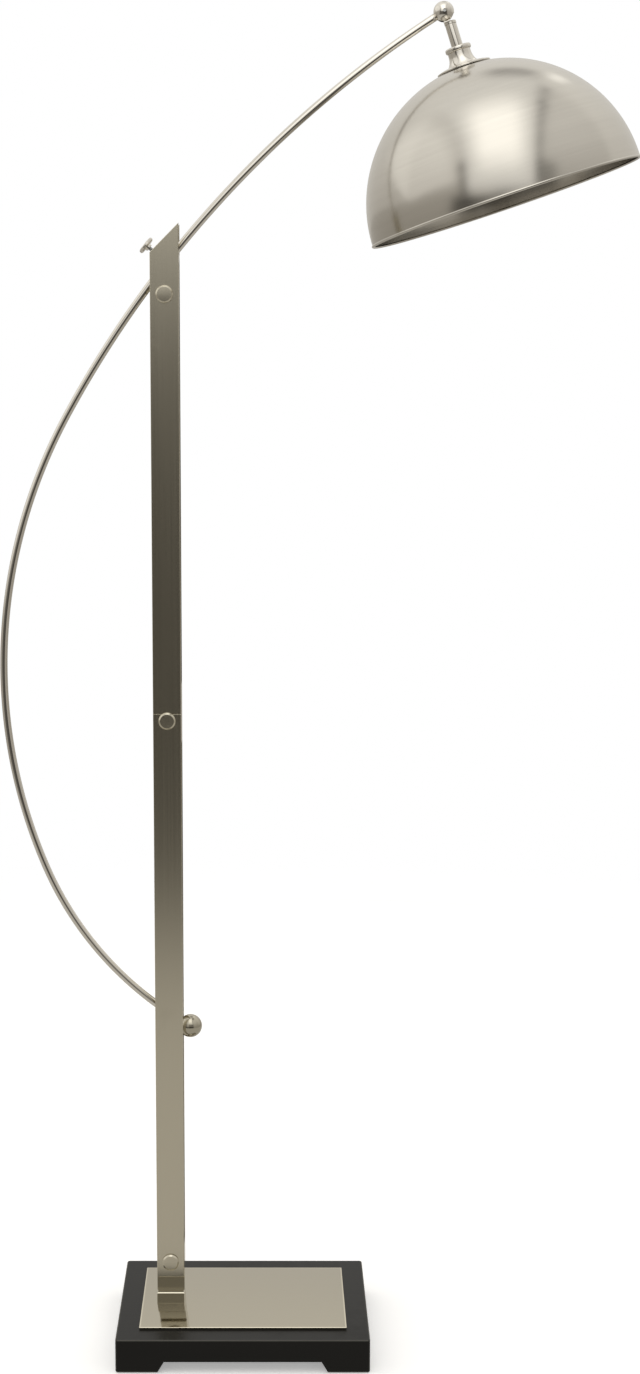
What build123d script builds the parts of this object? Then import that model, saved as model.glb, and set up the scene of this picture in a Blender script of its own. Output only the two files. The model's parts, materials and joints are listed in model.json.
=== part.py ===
"""Adjustable arm floor lamp: a curved arm slides and tips in a clamp at the top of a two-bar post.

Millimetres, +Z up.  The origin is on the floor under the middle of the base.  The arm, the post's
gap and the shade's axis all lie in the XZ plane, and -Y is the lamp's front.
"""
from build123d import *
import os
from math import cos, degrees, hypot, radians, sin, sqrt

os.makedirs("parts", exist_ok=True)

# ---------------------------------------------------------------- fits shared by several pieces
cut_overrun = 1.0
thread_fit = 0.02
lead_fit = 0.3

# ---------------------------------------------------------------- base
base_width = 328.0
base_depth = 250.0
base_top = 45.0
base_corner_r = 4.0
base_edge_r = 1.5
foot_width = 54.0
foot_slant = 8.5
foot_height = 14.4
pad_d = 20.0
pad_thickness = 3.5
pad_standout = 1.0
pad_inset_x = 27.0
pad_inset_y = 20.0
pad_fit = 0.2

plate_margin_x = 29.2
plate_margin_y = 31.0
plate_thickness = 3.0
plate_chamfer = 0.8

weight_margin_y = 33.0
weight_thickness = 22.0
weight_clearance = 2.0
cover_thickness = 2.0
cover_margin = 14.0
cover_fit = 0.5
cover_bolt_gap = 0.8
cover_screw_d = 3.5
cover_screw_length = 14.0
cover_screw_inset = 6.0
screw_sink_overlap = 1.0

# ---------------------------------------------------------------- post
post_inset = 38.0
post_width = 36.0
bar_thickness = 6.0
bar_gap = 24.5
bar_bottom = 83.6
bar_seam = 842.0
bar_tip = 1458.7
bar_edge = 0.5
bottom_bolt_rise = 21.0
middle_bolt_drop = 8.9
top_bolt_drop = 87.2
bolt_d = 8.0
bolt_head_d = 22.0
bolt_face_d = 18.0
bolt_head_h = 4.0
bolt_clearance = 0.2
nut_height = 6.0
nut_engagement = 4.0

foot_block_depth = 42.0
foot_block_height = 15.0
foot_block_edge = 1.0
tongue_top = 128.0
splice_half_length = 38.0
foot_bolt_d = 8.0
foot_bolt_head_d = 13.0
foot_bolt_head_h = 8.0
foot_bolt_spacing = 24.0
foot_bolt_grip = 12.0
foot_washer_d = 18.0
foot_washer_t = 1.6
foot_washer_height = 26.0
foot_washer_room = 0.5
foot_bolt_hexagon_r = 3.4
foot_bolt_hexagon_depth = 4.0

# ---------------------------------------------------------------- arm
arm_reach = 345.6
arm_rise = 255.7
arm_start_angle = 121.79
arm_bends = [(1357.7, 29.08), (672.4, 51.29), (444.0, 37.64)]
tube_d = 9.5
tube_wall = 1.2
tube_fit = 0.05
lead_d = 5.0

seat_clearance = 0.3
tube_end_gap = 3.0
tube_seat_depth = 2.4
lead_turn_room = 0.75
outlet_d = 8.0
outlet_tilt = 35.0
bushing_bore = 5.4
bushing_flange_d = 11.0
bushing_flange_t = 1.5
bushing_length = 8.0
bushing_recess = 1.0
bushing_flange_fit = 0.1

# ---------------------------------------------------------------- clamp
clamp_from_top = 19.4
clamp_bolt_boss_r = 14.0
clamp_sleeve_wall = 4.75
clamp_sleeve_span = 18.0
washer_d = 20.0
washer_t = 0.8
washer_play = 0.1
pivot_fit = 0.05
screw_boss_r = 5.5
screw_boss_length = 16.0
clamp_bore_sweep = 12.0
screw_d = 5.0
screw_fit = 0.05
shoe_thickness = 3.0
shoe_gap = 0.1
knob_offset = 31.0
knob_d = 22.0
knob_thickness = 4.6
knob_hub_d = 9.0
knob_hub_length = 3.0
knob_edge = 1.0

# ---------------------------------------------------------------- knuckle and head
ball_d = 25.4
tilt_rest = 18.2
tilt_min = -25.0
tilt_max = 45.0
tang_thickness = 8.0
tang_width = 7.4
tang_eye_r = 6.6
tang_side_play = 0.1
tang_edge_play = 0.4
pin_d = 4.0
pin_fit = 0.05
pin_end_depth = 1.7

neck_offset = 3.5
collar_gap = 0.6
collar_length = 3.7
collar_d = 15.0
collar_edge = 1.0
lead_hole_start = 2.0
lead_stop = 0.4
neck_length = 28.0
neck_wall = 1.9
neck_bore_fit = 0.2
neck_edge = 1.2
spigot_length = 8.0
ring_d = 32.4
ring_height = 6.0
ring_edge = 2.4
cup_length = 16.95
cup_top_d = 28.8
cup_bottom_d = 38.8
cup_wall = 1.6
cup_flare_drop = 2.0
cup_flare_swell = 1.2
disc_d = 67.5
disc_thickness = 2.0
disc_rim_t = 1.5
disc_flat_margin = 0.6
disc_clearance = 0.6
disc_hub_r = 9.0
nipple_d = 10.0
nipple_bore = 7.0
nipple_fit = 0.15
nipple_in_neck = 17.0
nipple_past_cap = 4.0

shade_r = 173.0
shade_wall = 1.0
rim_bead_r = 1.7
shade_seat = 0.05
inner_washer_d = 32.0
inner_washer_t = 1.5
inner_nut_af = 17.0
inner_nut_h = 5.0

socket_gap = 0.6
socket_cap_length = 12.0
socket_cap_fit = 0.3
socket_cap_wall = 1.2
socket_cap_shoulder = 4.0
socket_cap_overlap = 5.0
socket_wall = 3.0
socket_body_length = 48.0
shell_room = 1.0
socket_floor = 16.0
socket_inner_fit = 0.05
insulator_t = 3.0
shell_wall = 0.6
shell_length = 24.0
contact_d = 8.0
contact_t = 1.4
contact_stud_r = 1.4
contact_hole_r = 1.5
contact_ring_gap = 1.0
lead_end_gap = 0.3
switch_s = 10.0
switch_bore = 5.0
switch_fit = 0.08
switch_reach = 16.0
switch_wing = 13.0
switch_wing_t = 3.2
switch_wing_depth = 9.0
switch_hole_depth = 4.0
switch_end_gap = 0.2

bulb_thread_d = 26.0
bulb_base_length = 24.0
bulb_contact_gap = 0.2
bulb_thread_fit = 0.4
bulb_base_edge = 1.5
bulb_base_slope = 3.0
bulb_base_floor = 4.0
bulb_tip_h = 2.2
bulb_tip_r = 4.5
bulb_neck_inset = 0.8
bulb_r = 29.0
bulb_length = 80.0
bulb_wall = 0.9
bulb_neck_flare = 1.5
bulb_neck_length = 10.0
bulb_join_sine = 0.34

# ---------------------------------------------------------------- worked-out places
plate_width = base_width - 2 * plate_margin_x
plate_depth = base_depth - 2 * plate_margin_y
post_x = post_inset - plate_width / 2
cover_half_width = -post_x - foot_washer_d / 2 - foot_washer_room - cover_bolt_gap - cover_fit
weight_width = 2 * (cover_half_width - cover_margin - weight_clearance)
weight_depth = base_depth - 2 * weight_margin_y
bars_depth = bar_gap + 2 * bar_thickness
bar_face = bars_depth / 2
post_right = post_x + post_width / 2
floor_face = pad_standout
underside = foot_height + pad_standout
plate_top = base_top + plate_thickness
foot_block_top = plate_top + foot_block_height
bolt_heights = [bar_bottom + bottom_bolt_rise, bar_seam - middle_bolt_drop, bar_tip - top_bolt_drop]
bolts = [(post_x, z) for z in bolt_heights]
pivot_x, pivot_z = bolts[-1]
tube_r = tube_d / 2
ball_r = ball_d / 2
arm_top_x = post_x + arm_reach
arm_top_z = bar_tip + arm_rise


def on_arc(centre, radius, angle):
    """Point of the XZ plane at an angle round a centre."""
    return (centre[0] + radius * cos(radians(angle)), centre[1] + radius * sin(radians(angle)))


def arm_arcs():
    """The arm's tangent arcs from the top ball down: (centre, radius, start angle, sweep)."""
    arcs = []
    point = (arm_top_x, arm_top_z)
    angle = arm_start_angle
    for radius, sweep in arm_bends:
        centre = on_arc(point, -radius, angle)
        arcs.append((centre, radius, angle, sweep))
        angle = angle + sweep
        point = on_arc(centre, radius, angle)
    return arcs, point


arcs, arm_end = arm_arcs()
arc_centre, arc_radius = arcs[0][0], arcs[0][1]
clamp_angle = arm_start_angle + clamp_from_top
clamp_point = on_arc(arc_centre, arc_radius, clamp_angle)
screw_dir = Vector(cos(radians(clamp_angle)), 0, sin(radians(clamp_angle)))
lower_ball_r = hypot(arm_end[0] - post_right, bar_gap / 2) - seat_clearance

# Seats along the head's axis: distances below the top ball's centre.
collar_top = ball_r + collar_gap
neck_top = collar_top + collar_length
neck_bottom = neck_top + neck_length
cup_top = neck_bottom + ring_height
disc_top = cup_top + cup_length
shade_centre = disc_top + disc_thickness + shade_seat + shade_r
inner_r = shade_r - shade_wall
washer_top = shade_centre - sqrt(inner_r ** 2 - (inner_washer_d / 2) ** 2) + shade_seat
cap_top = washer_top + inner_washer_t + inner_nut_h + socket_gap
neck_bore = nipple_d + 2 * neck_bore_fit
neck_d = neck_bore + 2 * neck_wall
shell_outer_d = bulb_thread_d + 2 * (bulb_thread_fit + shell_wall)
socket_cavity_d = shell_outer_d + 2 * shell_room
socket_body_d = socket_cavity_d + 2 * socket_wall
socket_cap_d = socket_body_d + 2 * (socket_cap_fit + socket_cap_wall)
bulb_neck_r = bulb_thread_d / 2 - bulb_neck_inset


# ---------------------------------------------------------------- helpers
def save(shape, node):
    shape.label = node
    export_step(shape, f"parts/{node}.step")


def cyl(radius, start, end, x=0.0, y=0.0):
    """Upright cylinder between two heights."""
    return Pos(x, y, (start + end) / 2) * Cylinder(radius, abs(end - start))


def block(x_size, y_size, start, end, x=0.0, y=0.0):
    """Box between two heights."""
    return Pos(x, y, (start + end) / 2) * Box(x_size, y_size, abs(end - start))


def rod_between(start, direction, radius, length):
    """Cylinder from a point along a direction."""
    return Plane(origin=start, z_dir=direction) * Pos(0, 0, length / 2) * Cylinder(radius, length)


def bend(centre, radius, angle, sweep, outer_r):
    """Round bar bent along an arc of the XZ plane."""
    start = on_arc(centre, radius, angle)
    along = (-sin(radians(angle)), 0, cos(radians(angle)))
    radial = (cos(radians(angle)), 0, sin(radians(angle)))
    section = Plane(origin=(start[0], 0, start[1]), x_dir=radial, z_dir=along) * Circle(outer_r)
    return revolve(section, Axis((centre[0], 0, centre[1]), (0, -1, 0)), revolution_arc=sweep)


def arm_bar(radius, start_trim=0.0, end_trim=0.0):
    """The arm's whole bent path as a round bar, shortened at its ends by lengths."""
    pieces = []
    for index, (centre, bend_r, angle, sweep) in enumerate(arcs):
        first = degrees(start_trim / bend_r) if index == 0 else 0.0
        last = degrees(end_trim / bend_r) if index == len(arcs) - 1 else 0.0
        pieces.append(bend(centre, bend_r, angle + first, sweep - first - last, radius))
    return Part() + pieces


def flat_in_xz(outline, depth):
    """Solid of a closed XZ outline, centred on the XZ plane."""
    return extrude(Plane.XZ * make_face(Polyline(*outline, close=True)), depth / 2, both=True)


def disc_in_xz(x, z, radius, depth, y=0.0):
    """Cylinder with its axis along Y."""
    return Pos(x, y, z) * Rot(90, 0, 0) * Cylinder(radius, depth)


def in_head(shape, along=neck_offset):
    """Move a shape drawn on a downward axis from the top ball to the tilted head."""
    return Pos(arm_top_x, 0, arm_top_z) * Rot(0, -tilt_rest, 0) * Pos(along, 0, 0) * shape


def turned(points):
    """Solid turned about Z from (radius, distance below the ball) points."""
    outline = [(radius, -down) for radius, down in points]
    return revolve(Plane.XZ * make_face(Polyline(*outline, close=True)), Axis.Z)


# ---------------------------------------------------------------- base
def make_base():
    foot_inner = base_width / 2 - foot_width
    plinth = block(base_width, base_depth, floor_face, base_top)
    plinth = fillet(plinth.edges().filter_by(Axis.Z), base_corner_r)
    plinth = fillet(plinth.faces().sort_by(Axis.Z)[-1].edges(), base_edge_r)
    plinth = fillet(plinth.faces().sort_by(Axis.Z)[0].edges(), base_edge_r)
    arch = [(-foot_inner, 0), (foot_inner, 0), (foot_inner, floor_face),
            (foot_inner - foot_slant, underside), (foot_slant - foot_inner, underside),
            (-foot_inner, floor_face)]
    plinth -= flat_in_xz(arch, base_depth + 2 * cut_overrun)
    pocket_top = underside + cover_thickness + weight_thickness + weight_clearance
    pocket_width = weight_width + 2 * weight_clearance
    pocket_depth = weight_depth + 2 * weight_clearance
    plinth -= block(pocket_width, pocket_depth, underside - cut_overrun, pocket_top)
    cover_width = 2 * cover_half_width
    cover_depth = pocket_depth + 2 * cover_margin
    recess_width = cover_width + 2 * cover_fit
    recess_depth = cover_depth + 2 * cover_fit
    plinth -= block(recess_width, recess_depth, underside - cut_overrun, underside + cover_thickness)
    screw_x = cover_width / 2 - cover_screw_inset
    screw_y = cover_depth / 2 - cover_screw_inset
    screw_at = [(sx * screw_x, sy * screw_y) for sx in (-1, 1) for sy in (-1, 1)]
    cover = block(cover_width, cover_depth, underside, underside + cover_thickness)
    screws = Part()
    for x, y in screw_at:
        head_r = cover_screw_d
        sink = turned([(0, -underside), (head_r, -underside), (cover_screw_d / 2, -underside - head_r / 2),
                       (0, -underside - head_r / 2)])
        body = sink + cyl(cover_screw_d / 2, underside + screw_sink_overlap, underside + cover_screw_length)
        screws += Pos(x, y, 0) * body
        cover -= Pos(x, y, 0) * body
        plinth -= cyl(cover_screw_d / 2, underside, underside + cover_screw_length, x, y)
    pads = Part()
    for sx in (-1, 1):
        for sy in (-1, 1):
            x = sx * (base_width / 2 - pad_inset_x)
            y = sy * (base_depth / 2 - pad_inset_y)
            pads += cyl(pad_d / 2, 0, pad_thickness, x, y)
            plinth -= cyl(pad_d / 2 + pad_fit, 0, pad_thickness, x, y)
    plate = block(plate_width, plate_depth, base_top, plate_top)
    plate = chamfer(plate.faces().sort_by(Axis.Z)[-1].edges(), plate_chamfer)
    weight_low = underside + cover_thickness
    weight = block(weight_width, weight_depth, weight_low, weight_low + weight_thickness)
    weight = chamfer(weight.edges().filter_by(Axis.Z), weight_clearance)
    block_bore = foot_bolt_d / 2 + bolt_clearance
    foot_bolts = Part()
    foot_washers = Part()
    for sy in (-1, 1):
        y = sy * foot_bolt_spacing / 2
        plinth -= cyl(foot_washer_d / 2 + foot_washer_room, 0, foot_washer_height, post_x, y)
        plinth -= cyl(block_bore, foot_washer_height - cut_overrun, base_top + cut_overrun, post_x, y)
        plate -= cyl(block_bore, base_top - cut_overrun, plate_top + cut_overrun, post_x, y)
        washer_low = foot_washer_height - foot_washer_t
        washer = cyl(foot_washer_d / 2, washer_low, foot_washer_height, post_x, y)
        foot_washers += washer - cyl(block_bore, 0, base_top, post_x, y)
        head_low = washer_low - foot_bolt_head_h
        head = cyl(foot_bolt_head_d / 2, head_low, washer_low, post_x, y)
        hexagon = extrude(RegularPolygon(foot_bolt_hexagon_r, 6), foot_bolt_hexagon_depth)
        shank = cyl(foot_bolt_d / 2, washer_low, plate_top + foot_bolt_grip, post_x, y)
        foot_bolts += head - Pos(post_x, y, head_low) * hexagon + shank
    save(plinth, "base_plinth")
    save(weight, "base_weight")
    save(cover, "base_cover")
    save(screws, "cover_screws")
    save(pads, "foot_pads")
    save(plate, "base_plate")
    save(foot_bolts, "foot_bolts")
    save(foot_washers, "foot_washers")


# ---------------------------------------------------------------- post
def make_foot_block():
    body = block(post_width, foot_block_depth, plate_top, foot_block_top, post_x)
    body = chamfer(body.faces().sort_by(Axis.Z)[-1].edges(), foot_block_edge)
    body += block(post_width, bar_gap, foot_block_top, tongue_top, post_x)
    body -= disc_in_xz(post_x, bolt_heights[0], bolt_d / 2 + bolt_clearance, bars_depth)
    for sy in (-1, 1):
        y = sy * foot_bolt_spacing / 2
        body -= cyl(foot_bolt_d / 2, plate_top - cut_overrun, plate_top + foot_bolt_grip, post_x, y)
    save(body, "foot_block")


def make_bars():
    left = post_x - post_width / 2
    right = post_right
    lower = [(left, bar_bottom), (right, bar_bottom), (right, bar_seam), (left, bar_seam)]
    upper = [(left, bar_seam), (right, bar_seam), (right, bar_tip), (left, bar_tip - post_width)]
    for place, sign in (("front", -1), ("rear", 1)):
        for part, outline in (("lower", lower), ("upper", upper)):
            bar = Pos(0, sign * (bar_gap + bar_thickness) / 2, 0) * flat_in_xz(outline, bar_thickness)
            outer = bar.faces().sort_by(Axis.Y)[0 if sign < 0 else -1]
            bar = chamfer(outer.edges(), bar_edge)
            for x, z in bolts:
                bar -= disc_in_xz(x, z, bolt_d / 2 + bolt_clearance, 2 * bars_depth)
            save(bar, f"post_bar_{place}_{part}")
    splice = block(post_width, bar_gap, bar_seam - splice_half_length, bar_seam + splice_half_length, post_x)
    splice -= disc_in_xz(post_x, bolt_heights[1], bolt_d / 2 + bolt_clearance, bars_depth)
    save(splice, "splice_block")


def bolt_head(height):
    """Round low head on Z from its seat up, bevelled to a flat face."""
    step = height - (bolt_head_d - bolt_face_d) / 2
    return turned([(0, 0), (bolt_head_d / 2, 0), (bolt_head_d / 2, -step),
                   (bolt_face_d / 2, -height), (0, -height)])


def make_post_bolts():
    bolt_set = Part()
    nut_set = Part()
    shank_length = bars_depth + nut_engagement
    for x, z in bolts:
        shank = Pos(0, 0, -shank_length / 2) * Cylinder(bolt_d / 2, shank_length)
        bolt_set += Pos(x, -bar_face, z) * Rot(90, 0, 0) * (bolt_head(bolt_head_h) + shank)
        thread = Pos(0, 0, nut_engagement / 2) * Cylinder(bolt_d / 2 + thread_fit, nut_engagement)
        nut = bolt_head(nut_height) - thread
        nut_set += Pos(x, bar_face, z) * Rot(-90, 0, 0) * nut
    save(bolt_set, "post_bolts")
    save(nut_set, "post_cap_nuts")


# ---------------------------------------------------------------- clamp
def make_clamp():
    block_width = bar_gap - 2 * washer_t - 2 * washer_play
    half_span = degrees(clamp_sleeve_span / 2 / arc_radius)
    ends = [on_arc(arc_centre, arc_radius, clamp_angle + side * half_span) for side in (-1, 1)]
    rings = [Pos(pivot_x, pivot_z) * Circle(clamp_bolt_boss_r)]
    rings += [Pos(*end) * Circle(tube_r + clamp_sleeve_wall) for end in ends]
    hull = make_hull([edge for ring in rings for edge in ring.edges()])
    body = extrude(Plane.XZ * hull, block_width / 2, both=True)
    origin = Vector(clamp_point[0], 0, clamp_point[1])
    body += rod_between(origin, screw_dir, screw_boss_r, screw_boss_length)
    bore_start = clamp_angle - clamp_bore_sweep / 2
    body -= bend(arc_centre, arc_radius, bore_start, clamp_bore_sweep, tube_r + tube_fit)
    body -= disc_in_xz(pivot_x, pivot_z, bolt_d / 2 + pivot_fit, 2 * bar_gap)
    shoe_start = tube_r + shoe_gap
    screw_start = shoe_start + shoe_thickness
    tapped_r = screw_d / 2 + screw_fit
    body -= rod_between(origin + screw_dir * shoe_start, screw_dir, tapped_r, 2 * screw_boss_length)
    save(body, "clamp_block")
    washers = Part()
    for sign in (-1, 1):
        washer_y = sign * (bar_gap - washer_t - washer_play) / 2
        washer = disc_in_xz(pivot_x, pivot_z, washer_d / 2, washer_t, washer_y)
        washers += washer - disc_in_xz(pivot_x, pivot_z, bolt_d / 2 + pivot_fit, 2 * bar_gap)
    save(washers, "clamp_washers")
    shoe = rod_between(origin + screw_dir * shoe_start, screw_dir, screw_d / 2, shoe_thickness - screw_fit)
    save(shoe, "clamp_shoe")
    stem_length = knob_offset + knob_thickness - screw_start - knob_edge
    stem = rod_between(origin + screw_dir * screw_start, screw_dir, screw_d / 2, stem_length)
    save(stem, "clamp_screw")
    knob = Pos(0, 0, knob_thickness / 2) * Cylinder(knob_d / 2, knob_thickness)
    knob = chamfer(knob.edges().filter_by(GeomType.CIRCLE), knob_edge)
    knob += Pos(0, 0, -knob_hub_length / 2) * Cylinder(knob_hub_d / 2, knob_hub_length)
    knob = Plane(origin=origin + screw_dir * knob_offset, z_dir=screw_dir) * knob
    knob -= stem
    save(knob, "clamp_knob")


# ---------------------------------------------------------------- arm
def make_arm():
    trim_top = sqrt(ball_r ** 2 - tube_r ** 2) - tube_seat_depth
    tube = arm_bar(tube_r, trim_top, tube_end_gap) - arm_bar(tube_r - tube_wall)
    save(tube, "arm_tube")
    centre = Vector(arm_end[0], 0, arm_end[1])
    outlet = Vector(0, cos(radians(outlet_tilt)), -sin(radians(outlet_tilt)))
    seat = lower_ball_r - bushing_length + bushing_flange_t
    last_centre, last_r, last_angle, last_sweep = arcs[-1]
    ball = Pos(*centre) * Sphere(lower_ball_r)
    ball -= bend(last_centre, last_r, last_angle, last_sweep, tube_r + thread_fit)
    ball -= Pos(*centre) * Sphere(tube_r + lead_turn_room)
    ball -= rod_between(centre, outlet, outlet_d / 2 + thread_fit, 2 * lower_ball_r)
    face = lower_ball_r - bushing_recess
    recess_r = bushing_flange_d / 2 + bushing_flange_fit
    ball -= rod_between(centre + outlet * face, outlet, recess_r, lower_ball_r)
    save(ball, "lower_ball")
    bushing = rod_between(centre + outlet * seat, outlet, outlet_d / 2, face - seat)
    bushing += rod_between(centre + outlet * face, outlet, bushing_flange_d / 2, bushing_flange_t)
    bushing -= rod_between(centre, outlet, bushing_bore / 2, 2 * lower_ball_r)
    save(bushing, "cord_bushing")
    lead_end = face + bushing_flange_t
    lead = arm_bar(lead_d / 2, trim_top) + Pos(*centre) * Sphere(lead_d / 2)
    lead += rod_between(centre, outlet, lead_d / 2, lead_end)
    save(lead, "arm_lead")
    return trim_top


def tilted(shape, angle):
    """Turn a shape drawn round the top ball's pivot, hanging straight down, by a tilt."""
    return Rot(0, -angle, 0) * shape


def make_knuckle(trim_top):
    slot_half = tang_width / 2 + tang_edge_play
    slot_width = tang_thickness + 2 * tang_side_play
    reach = ball_d
    low = tilt_rest + tilt_min
    high = tilt_rest + tilt_max
    slot = disc_in_xz(0, 0, tang_eye_r + tang_edge_play, slot_width)
    finger = Pos(0, 0, -reach / 2) * Box(2 * slot_half, slot_width, reach)
    slot += tilted(finger, low) + tilted(finger, high)
    middle = (low + high) / 2
    fan = [(0, 0)]
    for angle in (low, middle, high):
        fan.append((reach * sin(radians(angle)), -reach * cos(radians(angle))))
    slot += flat_in_xz(fan, slot_width)
    ball = Sphere(ball_r) - slot
    ball -= disc_in_xz(0, 0, pin_d / 2, ball_d)
    ball = Pos(arm_top_x, 0, arm_top_z) * ball
    first_centre, first_r, first_angle, first_sweep = arcs[0]
    entry = degrees(trim_top / first_r)
    ball -= bend(first_centre, first_r, first_angle + entry, first_sweep / 4, tube_r + thread_fit)
    ball -= bend(first_centre, first_r, first_angle + entry / 4, first_sweep / 4, lead_d / 2 + lead_fit)
    save(ball, "knuckle_ball")
    pin = disc_in_xz(arm_top_x, arm_top_z, pin_d / 2 - pin_fit / 2, ball_d - 2 * pin_end_depth)
    save(pin, "pivot_pin")


# ---------------------------------------------------------------- head
def make_neck():
    eye = disc_in_xz(0, 0, tang_eye_r, tang_thickness)
    lug = Pos(0, 0, -collar_top / 2) * Box(tang_width, tang_thickness, collar_top)
    lug -= Pos(0, 0, tang_eye_r) * Box(3 * tang_eye_r, 2 * tang_thickness, 2 * tang_eye_r)
    collar = turned([(0, collar_top), (collar_d / 2 - collar_edge, collar_top),
                     (collar_d / 2, collar_top + collar_edge),
                     (collar_d / 2, neck_top), (0, neck_top)])
    spigot = cyl(neck_bore / 2 - thread_fit, -neck_top, -neck_top - spigot_length)
    tang = eye + lug + Pos(neck_offset, 0, 0) * (collar + spigot)
    tang -= disc_in_xz(0, 0, pin_d / 2 + pin_fit, ball_d)
    lead_hole_end = neck_top + spigot_length + cut_overrun
    tang -= Pos(neck_offset, 0, 0) * cyl(lead_d / 2 + lead_fit, lead_hole_start - collar_top, -lead_hole_end)
    save(in_head(tang, 0), "neck_tang")
    tube = turned([(neck_bore / 2, neck_top), (neck_d / 2 - neck_edge, neck_top),
                   (neck_d / 2, neck_top + neck_edge), (neck_d / 2, neck_bottom),
                   (neck_bore / 2, neck_bottom)])
    save(in_head(tube), "neck_tube")
    ring = cyl(ring_d / 2, -neck_bottom, -cup_top)
    ring = fillet(ring.edges().filter_by(GeomType.CIRCLE), ring_edge)
    ring -= cyl(nipple_d / 2 + nipple_fit, 0, -2 * cup_top)
    save(in_head(ring), "cup_ring")
    nipple_end = cap_top + nipple_past_cap
    nipple = cyl(nipple_d / 2, nipple_in_neck - neck_bottom, -nipple_end)
    nipple -= cyl(nipple_bore / 2, 0, -2 * nipple_end)
    save(in_head(nipple), "threaded_nipple")


def make_cup():
    outer_top = cup_top_d / 2
    outer_low = cup_bottom_d / 2
    cup_low = disc_top
    waist = (cup_top + cup_low) / 2 + cup_flare_drop
    with BuildSketch(Plane.XZ) as profile:
        with BuildLine():
            Polyline((outer_top - cup_wall, -cup_low), (outer_low, -cup_low))
            ThreePointArc((outer_low, -cup_low), (outer_top + cup_flare_swell, -waist),
                          (outer_top, -cup_top))
            Polyline((outer_top, -cup_top), (nipple_d / 2 + nipple_fit, -cup_top),
                     (nipple_d / 2 + nipple_fit, -cup_top - 2 * cup_wall),
                     (outer_top - cup_wall, -cup_top - 2 * cup_wall), (outer_top - cup_wall, -cup_low))
        make_face()
    save(in_head(revolve(profile.sketch, Axis.Z)), "shade_cup")
    under_r = shade_r + disc_clearance
    rim_low = shade_centre - sqrt(under_r ** 2 - (disc_d / 2) ** 2)
    rim_top = rim_low - disc_rim_t
    disc = turned([(0, disc_top), (outer_low + disc_flat_margin, disc_top), (disc_d / 2, rim_top),
                   (disc_d / 2, rim_low), (0, rim_low)])
    disc -= Pos(0, 0, -shade_centre) * Sphere(under_r)
    disc += cyl(disc_hub_r, -disc_top, -disc_top - disc_thickness)
    disc -= cyl(nipple_d / 2 + nipple_fit, 0, -2 * disc_top)
    save(in_head(disc), "shade_disc")


def make_shade():
    dome = Sphere(shade_r) - Sphere(shade_r - shade_wall)
    dome -= Pos(0, 0, -shade_r) * Box(3 * shade_r, 3 * shade_r, 2 * shade_r)
    dome += Torus(shade_r - shade_wall / 2, rim_bead_r)
    dome = Pos(0, 0, -shade_centre) * dome
    dome -= cyl(nipple_d / 2 + nipple_fit, 0, -shade_centre)
    save(in_head(dome), "shade_dome")
    washer = cyl(inner_washer_d / 2, -washer_top, -washer_top - inner_washer_t)
    save(in_head(washer - cyl(nipple_d / 2 + nipple_fit, 0, -shade_centre)), "shade_washer")
    nut_top = washer_top + inner_washer_t
    nut = Pos(0, 0, -nut_top - inner_nut_h) * extrude(RegularPolygon(inner_nut_af / sqrt(3), 6), inner_nut_h)
    save(in_head(nut - cyl(nipple_d / 2 + nipple_fit, 0, -shade_centre)), "shade_nut")


def make_socket():
    cap_low = cap_top + socket_cap_length
    body_top = cap_low - socket_cap_overlap
    body_low = body_top + socket_body_length
    cavity = body_top + socket_floor
    outer = socket_cap_d / 2
    cap = turned([(0, cap_top), (outer - socket_cap_shoulder, cap_top),
                  (outer, cap_top + socket_cap_shoulder), (outer, cap_low), (0, cap_low)])
    inner = outer - socket_cap_wall
    inner_top = cap_top + socket_cap_wall
    cap -= turned([(0, inner_top), (inner - socket_cap_shoulder, inner_top),
                   (inner, inner_top + socket_cap_shoulder), (inner, cap_low + cut_overrun),
                   (0, cap_low + cut_overrun)])
    cap -= cyl(nipple_d / 2 + thread_fit, 0, -cap_low)
    save(in_head(cap), "socket_cap")
    body = cyl(socket_body_d / 2, -body_top, -body_low)
    body -= cyl(socket_cavity_d / 2, -cavity, -body_low - cut_overrun)
    body -= cyl(lead_d / 2 + lead_fit, cut_overrun - body_top, -cavity - cut_overrun)
    switch_z = -body_top - switch_s
    body -= disc_in_xz(0, switch_z, switch_bore / 2 + switch_fit, 2 * switch_hole_depth, socket_body_d / 2)
    save(in_head(body), "socket_body")
    insulator = cyl(socket_cavity_d / 2 - socket_inner_fit, -cavity, -cavity - insulator_t)
    insulator -= cyl(contact_hole_r, 0, -body_low)
    save(in_head(insulator), "socket_insulator")
    shell_top = cavity + insulator_t
    shell = cyl(shell_outer_d / 2, -shell_top, -shell_top - shell_length)
    shell_low = shell_top + shell_length
    shell -= cyl(shell_outer_d / 2 - shell_wall, -shell_top - shell_wall, -shell_low - cut_overrun)
    shell -= cyl(contact_d / 2 + contact_ring_gap, 0, -body_low)
    save(in_head(shell), "screw_shell")
    contact = cyl(contact_d / 2, -shell_top, -shell_top - contact_t)
    contact += cyl(contact_stud_r, -cavity - lead_end_gap, -shell_top)
    save(in_head(contact), "centre_contact")
    stem_from = socket_body_d / 2 - switch_hole_depth + switch_end_gap
    shaft = disc_in_xz(0, switch_z, switch_bore / 2, switch_reach, stem_from + switch_reach / 2)
    wing = Pos(0, stem_from + switch_reach, switch_z) * Box(switch_wing, switch_wing_depth, switch_wing_t)
    wing = fillet(wing.edges().filter_by(Axis.Y), switch_wing_t / 3)
    save(in_head(shaft + wing), "switch_knob")
    save(in_head(cyl(lead_d / 2, -collar_top - lead_stop, lead_end_gap - cavity)), "head_lead")
    return shell_top


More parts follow.
